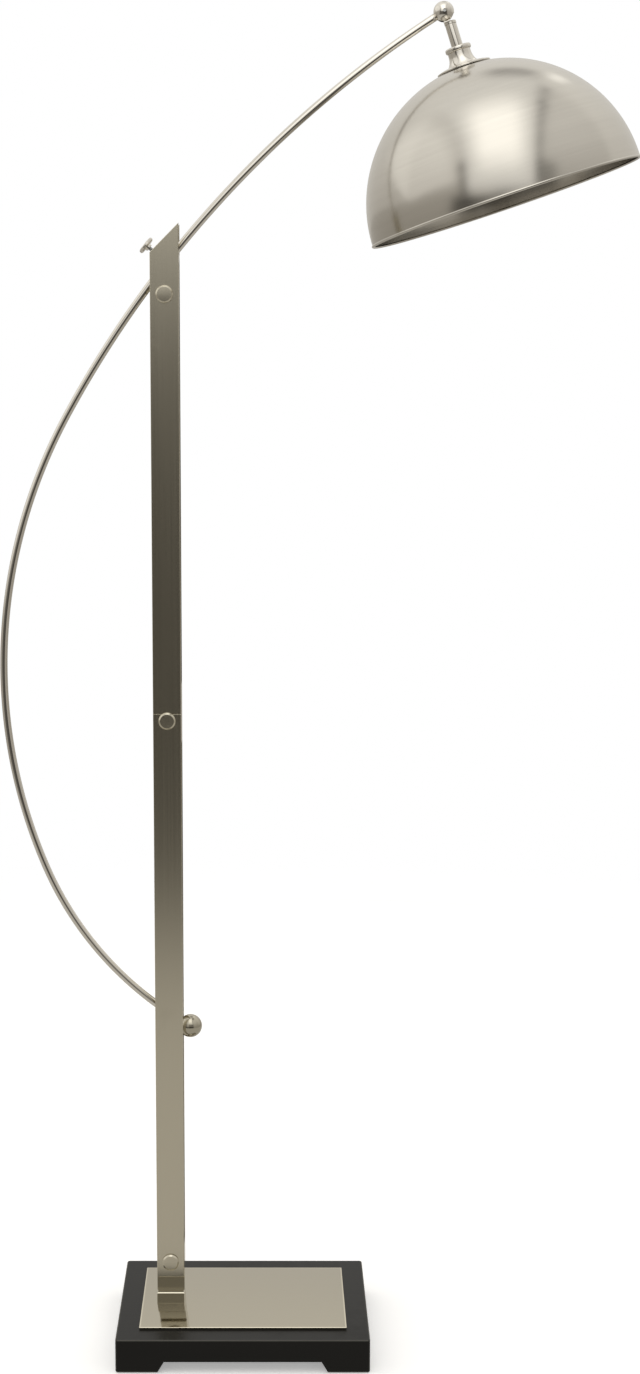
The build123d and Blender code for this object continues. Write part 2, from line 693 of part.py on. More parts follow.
def make_bulb(shell_top):
    tip_top = shell_top + contact_t + bulb_contact_gap
    base_top_s = tip_top + bulb_tip_h
    base_low = base_top_s + bulb_base_length
    base = turned([(0, tip_top), (bulb_tip_r / 2, tip_top), (bulb_tip_r, base_top_s),
                   (bulb_thread_d / 2 - bulb_base_edge, base_top_s),
                   (bulb_thread_d / 2, base_top_s + bulb_base_slope),
                   (bulb_thread_d / 2, base_low), (0, base_low)])
    base -= cyl(bulb_neck_r - bulb_base_edge, -base_top_s - bulb_base_floor, -base_low - cut_overrun)
    save(in_head(base), "bulb_base")
    low = base_low + bulb_length
    centre = low - bulb_r
    join_cosine = sqrt(1 - bulb_join_sine ** 2)

    def envelope(ball_r, neck_r, start):
        join = centre - ball_r * bulb_join_sine
        flare_low = base_low + bulb_neck_length
        neck = turned([(0, start), (neck_r, start), (neck_r + bulb_neck_flare, flare_low),
                       (ball_r * join_cosine, join), (0, join)])
        return Pos(0, 0, -centre) * Sphere(ball_r) + neck

    outer = envelope(bulb_r, bulb_neck_r, base_low)
    inner = envelope(bulb_r - bulb_wall, bulb_neck_r - bulb_wall, base_low - cut_overrun)
    save(in_head(outer - inner), "bulb_glass")


make_base()
make_foot_block()
make_bars()
make_post_bolts()
make_clamp()
make_knuckle(make_arm())
make_neck()
make_cup()
make_shade()
make_bulb(make_socket())
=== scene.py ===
"""Adjustable arm floor lamp: the turned, bent and fastened pieces, their finishes, and a pale studio.

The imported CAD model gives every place.  Sizes below are in millimetres and angles in degrees, and
MM turns them into the frame's metres.
"""

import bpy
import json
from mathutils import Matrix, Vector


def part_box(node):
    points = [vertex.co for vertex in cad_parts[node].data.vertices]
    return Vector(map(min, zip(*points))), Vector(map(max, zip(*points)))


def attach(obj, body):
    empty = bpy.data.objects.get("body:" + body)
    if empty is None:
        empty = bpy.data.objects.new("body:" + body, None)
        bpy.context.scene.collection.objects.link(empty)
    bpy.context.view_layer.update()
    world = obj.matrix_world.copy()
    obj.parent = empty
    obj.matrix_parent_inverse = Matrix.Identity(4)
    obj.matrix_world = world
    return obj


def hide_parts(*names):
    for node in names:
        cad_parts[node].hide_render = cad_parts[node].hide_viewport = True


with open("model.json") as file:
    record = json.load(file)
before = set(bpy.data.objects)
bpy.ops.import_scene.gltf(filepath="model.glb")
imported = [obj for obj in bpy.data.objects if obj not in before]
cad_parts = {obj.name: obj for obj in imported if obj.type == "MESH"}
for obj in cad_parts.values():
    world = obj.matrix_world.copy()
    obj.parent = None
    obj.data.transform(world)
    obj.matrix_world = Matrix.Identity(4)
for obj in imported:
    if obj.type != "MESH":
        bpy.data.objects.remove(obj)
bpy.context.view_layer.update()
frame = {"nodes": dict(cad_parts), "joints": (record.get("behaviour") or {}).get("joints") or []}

import json
from math import atan2, ceil, cos, hypot, pi, radians, sin, sqrt, tan

import bmesh
import bpy
from bpy.props import FloatProperty, FloatVectorProperty, IntProperty, PointerProperty
from bpy.types import Operator, Panel, PropertyGroup
from mathutils import Matrix, Vector

bl_info = {
    "name": "Adjustable arm floor lamp",
    "version": (1, 0, 0),
    "blender": (4, 5, 0),
    "location": "View3D > Sidebar > Arm lamp",
    "description": "Builds the pieces and finishes of a floor lamp with a sliding arm, and its studio",
    "category": "Add Mesh",
}

MM = 0.001
NODES = frame["nodes"]
JOINTS = {joint["name"]: joint for joint in frame["joints"]}
TOP_BALL = Vector(JOINTS["head_tilt"]["pos_m"])
SCREW_AXIS = Vector(JOINTS["clamp_screw_turn"]["axis"])


# ---------------------------------------------------------------- settings
def length(label, default, text):
    return FloatProperty(name=label, description=text, default=default * MM, min=0.0, unit="LENGTH",
                         precision=5)


def angle(label, default, text):
    return FloatProperty(name=label, description=text, default=radians(default), subtype="ANGLE")


def colour(label, default, text):
    return FloatVectorProperty(name=label, description=text, default=default, subtype="COLOR",
                               min=0.0, max=1.0)


def share(label, default, text):
    return FloatProperty(name=label, description=text, default=default, min=0.0, max=1.0,
                         subtype="FACTOR")


class ArmSizes(PropertyGroup):
    tube_diameter: length("Tube diameter", 9.5, "Outside diameter of the bent arm tube")
    tube_wall: length("Tube wall", 1.2, "Wall thickness of the arm tube")
    start_angle: angle("Start angle", 121.79, "Where the arm leaves the top ball, round its first bend")
    top_bend: length("Top bend radius", 1357.7, "Radius of the bend that slides in the clamp")
    top_sweep: angle("Top bend sweep", 29.08, "Angle of the top bend")
    middle_bend: length("Middle bend radius", 672.4, "Radius of the long bow beside the post")
    middle_sweep: angle("Middle bend sweep", 51.29, "Angle of the middle bend")
    low_bend: length("Low bend radius", 444.0, "Radius of the last bend above the lower ball")
    low_sweep: angle("Low bend sweep", 37.64, "Angle of the low bend")
    top_seat: length("Seat in the top ball", 9.38, "Distance from the top ball's centre to the tube's end")
    low_seat: length("Seat in the lower ball", 3.0, "Distance from the lower ball's centre to the tube's end")
    tube_step: length("Tube step", 8.0, "Length of one straight facet along the tube")
    tube_sides: IntProperty(name="Tube sides", description="Faces round the tube", default=40, min=12)


class ClampSizes(PropertyGroup):
    knob_ribs: IntProperty(name="Knob ribs", description="Grip ribs round the thumb knob", default=44, min=3)
    rib_radius: length("Rib radius", 0.42, "Radius of one grip rib")
    screw_diameter: length("Screw diameter", 5.0, "Thread diameter of the thumb screw")
    screw_pitch: length("Screw pitch", 0.8, "Thread pitch of the thumb screw")
    thread_depth: length("Thread depth", 0.42, "Depth of the thumb screw's thread")


class HeadSizes(PropertyGroup):
    tilt: angle("Head tilt", 18.2, "Angle of the head's axis from upright at rest")
    neck_offset: length("Neck offset", 3.5, "How far the neck's axis lies beside the ball's centre")
    shade_radius: length("Shade radius", 173.0, "Outside radius of the dome")
    shade_wall: length("Shade wall", 1.0, "Sheet thickness of the dome")
    shade_drop: length("Shade drop", 243.0, "Distance from the top ball to the dome's rim plane")
    rim_bead: length("Rim bead radius", 1.7, "Radius of the rolled rim")
    edge_round: length("Turned edge round", 0.45, "Rounding of the small turned pieces' edges")
    lamp_thread_pitch: length("Lamp thread pitch", 3.63, "Pitch of the bulb's rolled thread")
    lamp_thread_depth: length("Lamp thread depth", 0.9, "Depth of the bulb's rolled thread")


class LampFinishes(PropertyGroup):
    satin_nickel: colour("Satin nickel", (0.60, 0.56, 0.455), "Brushed plate on the post and base plate")
    shade_nickel: colour("Shade nickel", (0.58, 0.555, 0.505), "Spun and brushed plate on the dome")
    polished_nickel: colour("Polished nickel", (0.86, 0.825, 0.755), "Bright plate on the arm and fittings")
    zinc: colour("Zinc plate", (0.52, 0.53, 0.53), "Plated steel screws and washers")
    brass: colour("Brass", (0.74, 0.55, 0.26), "Bare turned brass inside the head")
    lacquer: colour("Black lacquer", (0.0085, 0.0083, 0.0075), "Satin lacquer on the wooden plinth")
    black_paint: colour("Black paint", (0.022, 0.022, 0.022), "Paint on the underside cover and weight")
    rubber: colour("Rubber", (0.018, 0.018, 0.018), "Pads under the feet")
    phenolic: colour("Socket plastic", (0.02, 0.019, 0.018), "Socket body, switch key and cord bushing")
    nylon: colour("Nylon", (0.72, 0.70, 0.64), "Clamp washers and socket insulator")
    insulation: colour("Lead insulation", (0.50, 0.49, 0.46), "Clear-over-silver lead inside the arm")
    bulb_glass: colour("Bulb glass", (0.90, 0.89, 0.86), "Frosted glass of the bulb")
    bulb_metal: colour("Bulb base", (0.68, 0.68, 0.67), "Aluminium screw base of the bulb")
    satin_roughness: share("Satin roughness", 0.21, "Roughness of the brushed plate")
    polished_roughness: share("Polished roughness", 0.07, "Roughness of the bright plate")


class StudioSettings(PropertyGroup):
    camera_place: FloatVectorProperty(name="Camera place", description="Where the camera stands",
                                      default=(0.02982, -2.6766, 1.25457), subtype="XYZ", unit="LENGTH")
    camera_tilt: angle("Camera tilt", 8.08, "How far the camera looks down")
    focal_length: FloatProperty(name="Focal length", description="Lens focal length in millimetres",
                                default=55.022, min=10.0)
    frame_shift: FloatProperty(name="Frame shift", description="Sideways shift of the frame",
                               default=0.0394)
    floor_colour: colour("Floor", (0.88, 0.88, 0.88), "Pale floor")
    floor_glow: FloatProperty(name="Floor glow", description="Light that the lit floor gives back",
                              default=0.38, min=0.0)
    floor_radius: FloatProperty(name="Floor radius", description="Where the floor has faded out",
                                default=2.9, min=0.5, unit="LENGTH")
    floor_mirrored: FloatProperty(name="Floor in reflections", description="Floor brightness in the metal",
                                  default=0.56, min=0.0)
    top_box: FloatProperty(name="Top box", description="Brightness of the soft box over the front",
                           default=1.0, min=0.0)
    box_core: FloatProperty(name="Top box core", description="Extra brightness in the middle of the soft box",
                            default=0.75, min=0.0)
    dark_gap: FloatProperty(name="Dark gap", description="Brightness of the unlit room low in front",
                            default=0.05, min=0.0)


# ---------------------------------------------------------------- node boards
class Board:
    """Adds and joins nodes in one tree."""

    def __init__(self, tree):
        self.tree = tree

    def add(self, kind, inputs=None, **settings):
        node = self.tree.nodes.new(kind)
        for key, value in settings.items():
            setattr(node, key, value)
        for key, value in (inputs or {}).items():
            if isinstance(value, bpy.types.NodeSocket):
                self.tree.links.new(value, node.inputs[key])
            else:
                node.inputs[key].default_value = value
        return node

    def math(self, operation, *values, clamp=False):
        numbered = dict(enumerate(values))
        return self.add("ShaderNodeMath", numbered, operation=operation, use_clamp=clamp).outputs[0]

    def vector(self, operation, *values):
        numbered = dict(enumerate(values))
        return self.add("ShaderNodeVectorMath", numbered, operation=operation).outputs[0]

    def ranged(self, value, low, high, to_low=0.0, to_high=1.0, smooth=False):
        kind = "SMOOTHSTEP" if smooth else "LINEAR"
        sockets = {"Value": value, "From Min": low, "From Max": high, "To Min": to_low, "To Max": to_high}
        return self.add("ShaderNodeMapRange", sockets, interpolation_type=kind).outputs[0]

    def blend(self, factor, first, second):
        sockets = {0: factor, 6: first, 7: second}
        return self.add("ShaderNodeMix", sockets, data_type="RGBA").outputs[2]

    def noise(self, place, scale=1.0, detail=3.0, roughness=0.6):
        sockets = {"Vector": place, "Scale": scale, "Detail": detail, "Roughness": roughness}
        return self.add("ShaderNodeTexNoise", sockets).outputs["Fac"]


def bare_board(owner):
    """Board of the emptied node tree of a material or world."""
    owner.use_nodes = True
    owner.node_tree.nodes.clear()
    return Board(owner.node_tree)


def group_board(name, kind, inputs, outputs):
    """New node group with named sockets: its board, what it is given and what it gives."""
    tree = bpy.data.node_groups.new(name, kind)
    for label, socket_type, default in inputs:
        socket = tree.interface.new_socket(label, in_out="INPUT", socket_type=socket_type)
        if default is not None:
            socket.default_value = default
    for label, socket_type in outputs:
        tree.interface.new_socket(label, in_out="OUTPUT", socket_type=socket_type)
    board = Board(tree)
    return board, board.add("NodeGroupInput").outputs, board.add("NodeGroupOutput").inputs


FLOAT, VECTOR, COLOUR = "NodeSocketFloat", "NodeSocketVector", "NodeSocketColor"
SHAPE, WHOLE, PAINT = "NodeSocketGeometry", "NodeSocketInt", "NodeSocketMaterial"


def brushing_group():
    """Fine lines drawn out along the direction with the smallest stretch."""
    board, given, gives = group_board(
        "brushing", "ShaderNodeTree",
        [("Vector", VECTOR, None), ("Stretch", VECTOR, (900.0, 900.0, 9.0)), ("Broad Share", FLOAT, 0.22)],
        [("Height", FLOAT), ("Streak", FLOAT)])
    fine_place = board.vector("MULTIPLY", given["Vector"], given["Stretch"])
    fine = board.noise(fine_place, detail=4.0, roughness=0.7)
    broad_place = board.vector("MULTIPLY", fine_place, given["Broad Share"])
    broad = board.noise(broad_place, detail=2.0, roughness=0.5)
    streak = board.math("MULTIPLY_ADD", fine, 0.55, board.math("MULTIPLY", broad, 0.45))
    board.tree.links.new(fine, gives["Height"])
    board.tree.links.new(streak, gives["Streak"])
    return board.tree


def handling_group():
    """Faint cloudy patches where the plate has been wiped and handled."""
    board, given, gives = group_board(
        "handling", "ShaderNodeTree",
        [("Vector", VECTOR, None), ("Patches", FLOAT, 14.0), ("Cover", FLOAT, 0.5)],
        [("Mask", FLOAT)])
    cloud = board.noise(given["Vector"], given["Patches"], detail=5.0, roughness=0.55)
    wisps = board.noise(given["Vector"], board.math("MULTIPLY", given["Patches"], 6.0), detail=3.0)
    both = board.math("MULTIPLY_ADD", cloud, 0.7, board.math("MULTIPLY", wisps, 0.3))
    low = board.math("SUBTRACT", 0.62, board.math("MULTIPLY", given["Cover"], 0.24))
    board.tree.links.new(board.ranged(both, low, 0.74, smooth=True), gives["Mask"])
    return board.tree


def box_edges_group():
    """Mask that is 1 along the edges of a box, for a painted highlight and a smoother finish on the edges."""
    board, given, gives = group_board(
        "box_edges", "ShaderNodeTree",
        [("Vector", VECTOR, None), ("Centre", VECTOR, (0.0, 0.0, 0.0)),
         ("Half Size", VECTOR, (1.0, 1.0, 1.0)),
         ("Width", FLOAT, 0.002)],
        [("Mask", FLOAT)])
    away = board.vector("ABSOLUTE", board.vector("SUBTRACT", given["Vector"], given["Centre"]))
    inward = board.vector("SUBTRACT", given["Half Size"], away)
    inward = board.add("ShaderNodeSeparateXYZ", {0: inward}).outputs
    near = [board.ranged(axis, given["Width"], 0.0, smooth=True) for axis in inward]
    pairs = [board.math("MULTIPLY", near[one], near[two]) for one, two in ((0, 1), (1, 2), (0, 2))]
    edge = board.math("MAXIMUM", board.math("MAXIMUM", pairs[0], pairs[1]), pairs[2])
    board.tree.links.new(edge, gives["Mask"])
    return board.tree


def wood_grain_group():
    """Open grain that shows faintly through a lacquer film."""
    board, given, gives = group_board(
        "wood_grain", "ShaderNodeTree",
        [("Vector", VECTOR, None), ("Stretch", VECTOR, (6.0, 260.0, 260.0))],
        [("Height", FLOAT), ("Tone", FLOAT)])
    place = board.vector("MULTIPLY", given["Vector"], given["Stretch"])
    pores = board.ranged(board.noise(place, detail=5.0, roughness=0.65), 0.36, 0.52, smooth=True)
    film = board.noise(given["Vector"], 240.0, detail=2.0)
    height = board.math("MULTIPLY_ADD", pores, 0.7, board.math("MULTIPLY", film, 0.3))
    board.tree.links.new(height, gives["Height"])
    board.tree.links.new(board.noise(given["Vector"], 9.0, detail=4.0), gives["Tone"])
    return board.tree


def granules_group():
    """Small even grains, for cast, moulded and rubber surfaces."""
    board, given, gives = group_board(
        "granules", "ShaderNodeTree",
        [("Vector", VECTOR, None), ("Grains", FLOAT, 900.0)],
        [("Height", FLOAT), ("Tone", FLOAT)])
    grains = board.noise(given["Vector"], given["Grains"], detail=2.0, roughness=0.5)
    patches = board.noise(given["Vector"], board.math("MULTIPLY", given["Grains"], 0.04), detail=3.0)
    board.tree.links.new(grains, gives["Height"])
    board.tree.links.new(patches, gives["Tone"])
    return board.tree


# ---------------------------------------------------------------- finishes
class Finish:
    """One material: its board, its shader and the coordinates that its patterns follow."""

    def __init__(self, name, own_map=False, **fixed):
        self.material = bpy.data.materials.new(name)
        self.material.use_nodes = True
        self.board = Board(self.material.node_tree)
        self.shader = self.material.node_tree.nodes["Principled BSDF"]
        for label, value in fixed.items():
            self.shader.inputs[label.replace("_", " ")].default_value = value
        source = self.board.add("ShaderNodeTexCoord").outputs
        self.place = source["UV" if own_map else "Object"]
        self.solid_place = source["Object"]

    def group(self, name, **values):
        node = self.board.add("ShaderNodeGroup", node_tree=bpy.data.node_groups[name])
        place = values.pop("place", self.place)
        self.board.tree.links.new(place, node.inputs["Vector"])
        for label, value in values.items():
            node.inputs[label.replace("_", " ")].default_value = value
        return node.outputs

    def feed(self, label, value):
        self.board.tree.links.new(value, self.shader.inputs[label])

    def bump(self, height, distance, strength=0.5):
        sockets = {"Height": height, "Distance": distance, "Strength": strength}
        self.feed("Normal", self.board.add("ShaderNodeBump", sockets).outputs["Normal"])


def shade_of(base, factor):
    return (*(min(1.0, part * factor) for part in base), 1.0)


def plated(name, base, roughness, stretch, depth, contrast=0.04, spread=0.14, smudge=0.2, own_map=False,
           edges=None, highlight_tone=1.0, **fixed):
    """Metal plate with drawn lines, wiped patches and, on a box, edges with a painted highlight and lower
    roughness.
    """
    made = Finish(name, own_map, Metallic=1.0, **fixed)
    lines = made.group("brushing", Stretch=stretch)
    wiped = made.group("handling", place=made.solid_place, Cover=smudge)["Mask"]
    board = made.board
    tint = board.blend(lines["Streak"], shade_of(base, 1.0 - contrast), shade_of(base, 1.0 + contrast))
    rough = board.ranged(lines["Streak"], 0.3, 0.7, roughness * (1.0 - spread), roughness * (1.0 + spread))
    rough = board.math("MULTIPLY_ADD", wiped, roughness * smudge, rough)
    if edges is not None:
        mask = made.group("box_edges", place=made.solid_place, Centre=edges[0], Half_Size=edges[1],
                          Width=edges[2])["Mask"]
        # Painted highlight: the box's edges are lightened by the edge tone factor; at 1.0 they keep the
        # plate's colour.
        tint = board.blend(mask, tint, shade_of(base, highlight_tone))
        rough = board.ranged(mask, 0.0, 1.0, rough, roughness * 0.6)
    made.feed("Base Color", tint)
    made.feed("Roughness", rough)
    made.bump(lines["Height"], depth)
    return made.material


def grained(name, base, roughness, grains, depth, **fixed):
    """Plain cast or moulded surface with small grains."""
    made = Finish(name, **fixed)
    grain = made.group("granules", Grains=grains)
    board = made.board
    made.feed("Base Color", board.blend(grain["Tone"], shade_of(base, 0.8), shade_of(base, 1.25)))
    made.feed("Roughness", board.ranged(grain["Tone"], 0.3, 0.7, roughness * 0.85, roughness * 1.15))
    made.bump(grain["Height"], depth)
    return made.material


def half_box(*names):
    """Centre and half size of the box round some nodes."""
    corners = [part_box(name) for name in names]
    low = Vector([min(pair[0][axis] for pair in corners) for axis in range(3)])
    high = Vector([max(pair[1][axis] for pair in corners) for axis in range(3)])
    return (low + high) / 2, (high - low) / 2


def lacquered(name, base, roughness):
    made = Finish(name, Coat_Weight=0.04, Coat_Roughness=0.2, Specular_IOR_Level=0.15)
    grain = made.group("wood_grain")
    centre, half = half_box("base_plinth")
    painted_edge_highlight = made.group("box_edges", Centre=centre, Half_Size=half, Width=2.2 * MM)["Mask"]
    wiped = made.group("handling", Patches=9.0, Cover=0.45)["Mask"]
    board = made.board
    tint = board.blend(grain["Tone"], shade_of(base, 0.85), shade_of(base, 1.2))
    # Painted highlight: the plinth's edges are lightened to 26 times the lacquer's colour, at half strength.
    tint = board.blend(board.math("MULTIPLY", painted_edge_highlight, 0.5), tint, shade_of(base, 26.0))
    made.feed("Base Color", tint)
    made.feed("Roughness", board.math("MULTIPLY_ADD", wiped, 0.09, roughness))
    made.bump(grain["Height"], 0.05 * MM, 0.35)
    return made.material


def make_finishes(kept):
    """Every material of the lamp, by its slot-like name."""
    for build in (brushing_group, handling_group, box_edges_group, wood_grain_group, granules_group):
        build()
    satin, mirror = kept.satin_roughness, kept.polished_roughness
    bars = half_box("post_bar_front_lower", "post_bar_front_upper")
    rear_bars = half_box("post_bar_rear_lower", "post_bar_rear_upper")
    plate = half_box("base_plate")
    block = half_box("foot_block")
    upright, level = (2400.0, 2400.0, 9.0), (9.0, 2400.0, 2400.0)
    even = (420.0, 420.0, 420.0)
    plated("nickel_front_bars", kept.satin_nickel, satin, upright, 0.004 * MM, edges=(*bars, 1.0 * MM))
    plated("nickel_rear_bars", kept.satin_nickel, satin, upright, 0.004 * MM, edges=(*rear_bars, 1.0 * MM))
    plain_tone = tuple(0.78 * part for part in kept.satin_nickel)
    # The base plate's and foot block's edges carry a painted highlight, 1.75 and 1.4 times their tone.
    plated("nickel_base_plate", plain_tone, satin * 0.42, level, 0.0016 * MM, edges=(*plate, 2.6 * MM),
           highlight_tone=1.75)
    plated("nickel_foot_block", kept.satin_nickel, satin * 0.4, level, 0.0016 * MM, edges=(*block, 1.2 * MM),
           highlight_tone=1.4)
    plated("nickel_blocks", kept.satin_nickel, satin, upright, 0.004 * MM)
    plated("nickel_shade", kept.shade_nickel, satin * 0.85, (3.0, 560.0, 1.0), 0.004 * MM, own_map=True,
           contrast=0.11, spread=0.12, smudge=0.12)
    plated("nickel_ball", plain_tone, mirror * 1.3, even, 0.001 * MM, contrast=0.03)
    plated("nickel_turned", kept.satin_nickel, satin * 1.15, even, 0.002 * MM)
    plated("nickel_polished", kept.polished_nickel, mirror, even, 0.0002 * MM, contrast=0.02, smudge=0.5)
    plated("zinc_plate", kept.zinc, 0.33, even, 0.004 * MM)
    plated("turned_brass", kept.brass, 0.24, (300.0, 300.0, 1800.0), 0.003 * MM)
    plated("bulb_aluminium", kept.bulb_metal, 0.28, (300.0, 300.0, 1800.0), 0.003 * MM)
    lacquered("black_lacquer", kept.lacquer, 0.34)
    grained("black_paint", kept.black_paint, 0.55, 1300.0, 0.03 * MM)
    grained("cast_weight", kept.black_paint, 0.7, 500.0, 0.12 * MM, Metallic=0.2)
    grained("pad_rubber", kept.rubber, 0.8, 1600.0, 0.02 * MM)
    grained("socket_phenolic", kept.phenolic, 0.35, 900.0, 0.008 * MM)
    grained("white_nylon", kept.nylon, 0.45, 700.0, 0.006 * MM)
    grained("lead_insulation", kept.insulation, 0.3, 400.0, 0.006 * MM, Coat_Weight=0.5)
    grained("frosted_glass", kept.bulb_glass, 0.5, 1500.0, 0.006 * MM, Coat_Weight=0.25)


CAD_FINISHES = {
    "black_lacquer": ["base_plinth"],
    "cast_weight": ["base_weight"],
    "black_paint": ["base_cover"],
    "zinc_plate": ["foot_bolts", "foot_washers", "shade_washer", "pivot_pin"],
    "nickel_foot_block": ["foot_block"],
    "nickel_front_bars": ["post_bar_front_lower", "post_bar_front_upper"],
    "nickel_rear_bars": ["post_bar_rear_lower", "post_bar_rear_upper"],
    "nickel_blocks": ["splice_block", "clamp_block"],
    "white_nylon": ["clamp_washers", "socket_insulator"],
    "turned_brass": ["clamp_shoe", "shade_nut", "centre_contact"],
    "nickel_ball": ["lower_ball"],
    "nickel_polished": ["knuckle_ball", "neck_tang"],
    "socket_phenolic": ["cord_bushing", "switch_knob", "socket_body"],
    "lead_insulation": ["arm_lead", "head_lead"],
}


# ---------------------------------------------------------------- shapes
def rounded(outline, radius, steps=5):
    """Closed (radius, height) outline with its marked corners rounded; a third number keeps one sharp."""
    made = []
    count = len(outline)
    for index, point in enumerate(outline):
        here = Vector(point[:2])
        before = Vector(outline[index - 1][:2]) - here
        after = Vector(outline[(index + 1) % count][:2]) - here
        bend = radius if len(point) == 2 else point[2]
        turn = before.angle(after, pi)
        if bend <= 0.0 or turn > radians(172) or here.x < 1e-9:
            made.append(here)
            continue
        reach = min(bend / tan(turn / 2), 0.45 * before.length, 0.45 * after.length)
        first = here + before.normalized() * reach
        last = here + after.normalized() * reach
        for step in range(steps + 1):
            part = step / steps
            made.append(first * (1 - part) ** 2 + here * 2 * part * (1 - part) + last * part ** 2)
    return made


def dense(outline, step):
    """The closed outline with its long stretches divided."""
    made = []
    for index, point in enumerate(outline):
        here, after = Vector(point[:2]), Vector(outline[(index + 1) % len(outline)][:2])
        pieces = max(1, ceil((after - here).length / step))
        made += [here.lerp(after, part / pieces) for part in range(pieces)]
    return made


def new_piece(name, mesh, material, body, nodes, crease=32):
    """Object at the origin that rides on a body and stands for CAD nodes."""
    piece = bpy.data.objects.new(name, mesh)
    bpy.context.scene.collection.objects.link(piece)
    return settle(piece, material, body, nodes, crease)


def settle(piece, material, body, nodes, crease=32):
    mesh = piece.data
    mesh.materials.clear()
    mesh.materials.append(bpy.data.materials[material])
    mesh.shade_smooth()
    mesh.set_sharp_from_angle(angle=radians(crease))
    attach(piece, body)
    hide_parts(*nodes)
    return piece


def turned_mesh(name, outline, place, sides=96, wave=None):
    """Mesh of a closed (radius, height) outline turned round Z, with a map that runs round and along."""
    build = bmesh.new()
    around = [2 * pi * side / sides for side in range(sides)]
    rings, along = [], [0.0]
    for index, (radius, height) in enumerate(outline):
        if index:
            before = outline[index - 1]
            along.append(along[-1] + hypot(radius - before[0], height - before[1]))
        if radius < 1e-9:
            rings.append([build.verts.new((0.0, 0.0, height))] * sides)
            continue
        ring = []
        for turn in around:
            reach = radius + (wave(radius, height, turn) if wave else 0.0)
            ring.append(build.verts.new((reach * cos(turn), reach * sin(turn), height)))
        rings.append(ring)
    closing = hypot(outline[0][0] - outline[-1][0], outline[0][1] - outline[-1][1])
    along.append(along[-1] + closing)
    own_map = build.loops.layers.uv.new("UVMap")
    count = len(rings)
    for index in range(count):
        this, after = rings[index], rings[(index + 1) % count]
        for side in range(sides):
            ahead = (side + 1) % sides
            corners = [(this[side], side, index), (this[ahead], side + 1, index),
                       (after[ahead], side + 1, index + 1), (after[side], side, index + 1)]
            unique = []
            for corner in corners:
                if all(corner[0] is not other[0] for other in unique):
                    unique.append(corner)
            if len(unique) < 3:
                continue
            face = build.faces.new([corner[0] for corner in unique])
            for loop, (_, turn, step) in zip(face.loops, unique):
                loop[own_map].uv = (turn / sides, along[step])
    bmesh.ops.recalc_face_normals(build, faces=build.faces)
    build.transform(place)
    mesh = bpy.data.meshes.new(name)
    build.to_mesh(mesh)
    build.free()
    return mesh


def turned_piece(name, outline, place, material, body, nodes, sides=96, wave=None):
    mesh = turned_mesh(name, outline, place, sides, wave)
    return new_piece(name, mesh, material, body, nodes)


def thread_wave(pitch, depth, low, high, fade):
    """Radial wave of a helical thread between two heights."""
    def wave(radius, height, turn):
        if not low < height < high:
            return 0.0
        ends = min(1.0, (height - low) / fade, (high - height) / fade)
        return 0.5 * depth * ends * cos(2 * pi * height / pitch - turn)
    return wave


def scaled(outline):
    """Outline in millimetres, as (radius, distance below) with any sharp-corner mark, in metres of height."""
    return [(point[0] * MM, -point[1] * MM, *(mark * MM for mark in point[2:])) for point in outline]


def in_metres(outline):
    """Outline in millimetres, brought to metres with its corner marks left as they are."""
    return [(point[0] * MM, point[1] * MM, *point[2:]) for point in outline]


def along_axis(origin, axis):
    """Placing matrix whose Z runs along an axis."""
    return Matrix.Translation(origin) @ Vector((0, 0, 1)).rotation_difference(axis).to_matrix().to_4x4()


def grow(piece, tree, values):
    """Runs a geometry tree on a piece and keeps the result as its plain mesh."""
    modifier = piece.modifiers.new("build", "NODES")
    modifier.node_group = tree
    for item in tree.interface.items_tree:
        if item.item_type == "SOCKET" and item.in_out == "INPUT" and item.name in values:
            modifier[item.identifier] = values[item.name]
    solved(piece, modifier, preserve_all_data_layers=True)
    piece.data.name = piece.name
    return piece


def solved(piece, modifier, **options):
    """Keeps the mesh that a modifier makes of a piece, and takes the modifier off."""
    graph = bpy.context.evaluated_depsgraph_get()
    mesh = bpy.data.meshes.new_from_object(piece.evaluated_get(graph), depsgraph=graph, **options)
    piece.modifiers.remove(modifier)
    piece.data = mesh
    return piece


def carved(piece, cutter):
    """Cuts one mesh object out of another and keeps the result."""
    modifier = piece.modifiers.new("cut", "BOOLEAN")
    modifier.operation = "DIFFERENCE"
    modifier.solver = "EXACT"
    modifier.object = cutter
    solved(piece, modifier)
    bpy.data.objects.remove(cutter)
    return piece


def add_box(build, low, high):
    made = bmesh.ops.create_cube(build, size=1.0)["verts"]
    bmesh.ops.scale(build, vec=Vector(high) - Vector(low), verts=made)
    bmesh.ops.translate(build, vec=(Vector(low) + Vector(high)) / 2, verts=made)


def boxes_object(name, boxes):
    """Loose boxes, each given by its low and high corner."""
    build = bmesh.new()
    for low, high in boxes:
        add_box(build, low, high)
    mesh = bpy.data.meshes.new(name)
    build.to_mesh(mesh)
    build.free()
    return loose_object(name, mesh)


def bevelled_box(low, high, bevel):
    """Mesh of a box with its edges bevelled."""
    build = bmesh.new()
    add_box(build, low, high)
    bmesh.ops.bevel(build, geom=build.edges[:], offset=bevel, segments=3, profile=0.6, affect="EDGES")
    return build


def loose_object(name, mesh):
    made = bpy.data.objects.new(name, mesh)
    bpy.context.scene.collection.objects.link(made)
    return made


# ---------------------------------------------------------------- geometry trees
def end_tree(board, given, gives, shape):
    """Realise, paint and hand out what a tree has made."""
    whole = board.add("GeometryNodeRealizeInstances", {"Geometry": shape}).outputs["Geometry"]
    painted = board.add("GeometryNodeSetMaterial", {"Geometry": whole, "Material": given["Material"]})
    board.tree.links.new(painted.outputs["Geometry"], gives["Geometry"])
    return board.tree


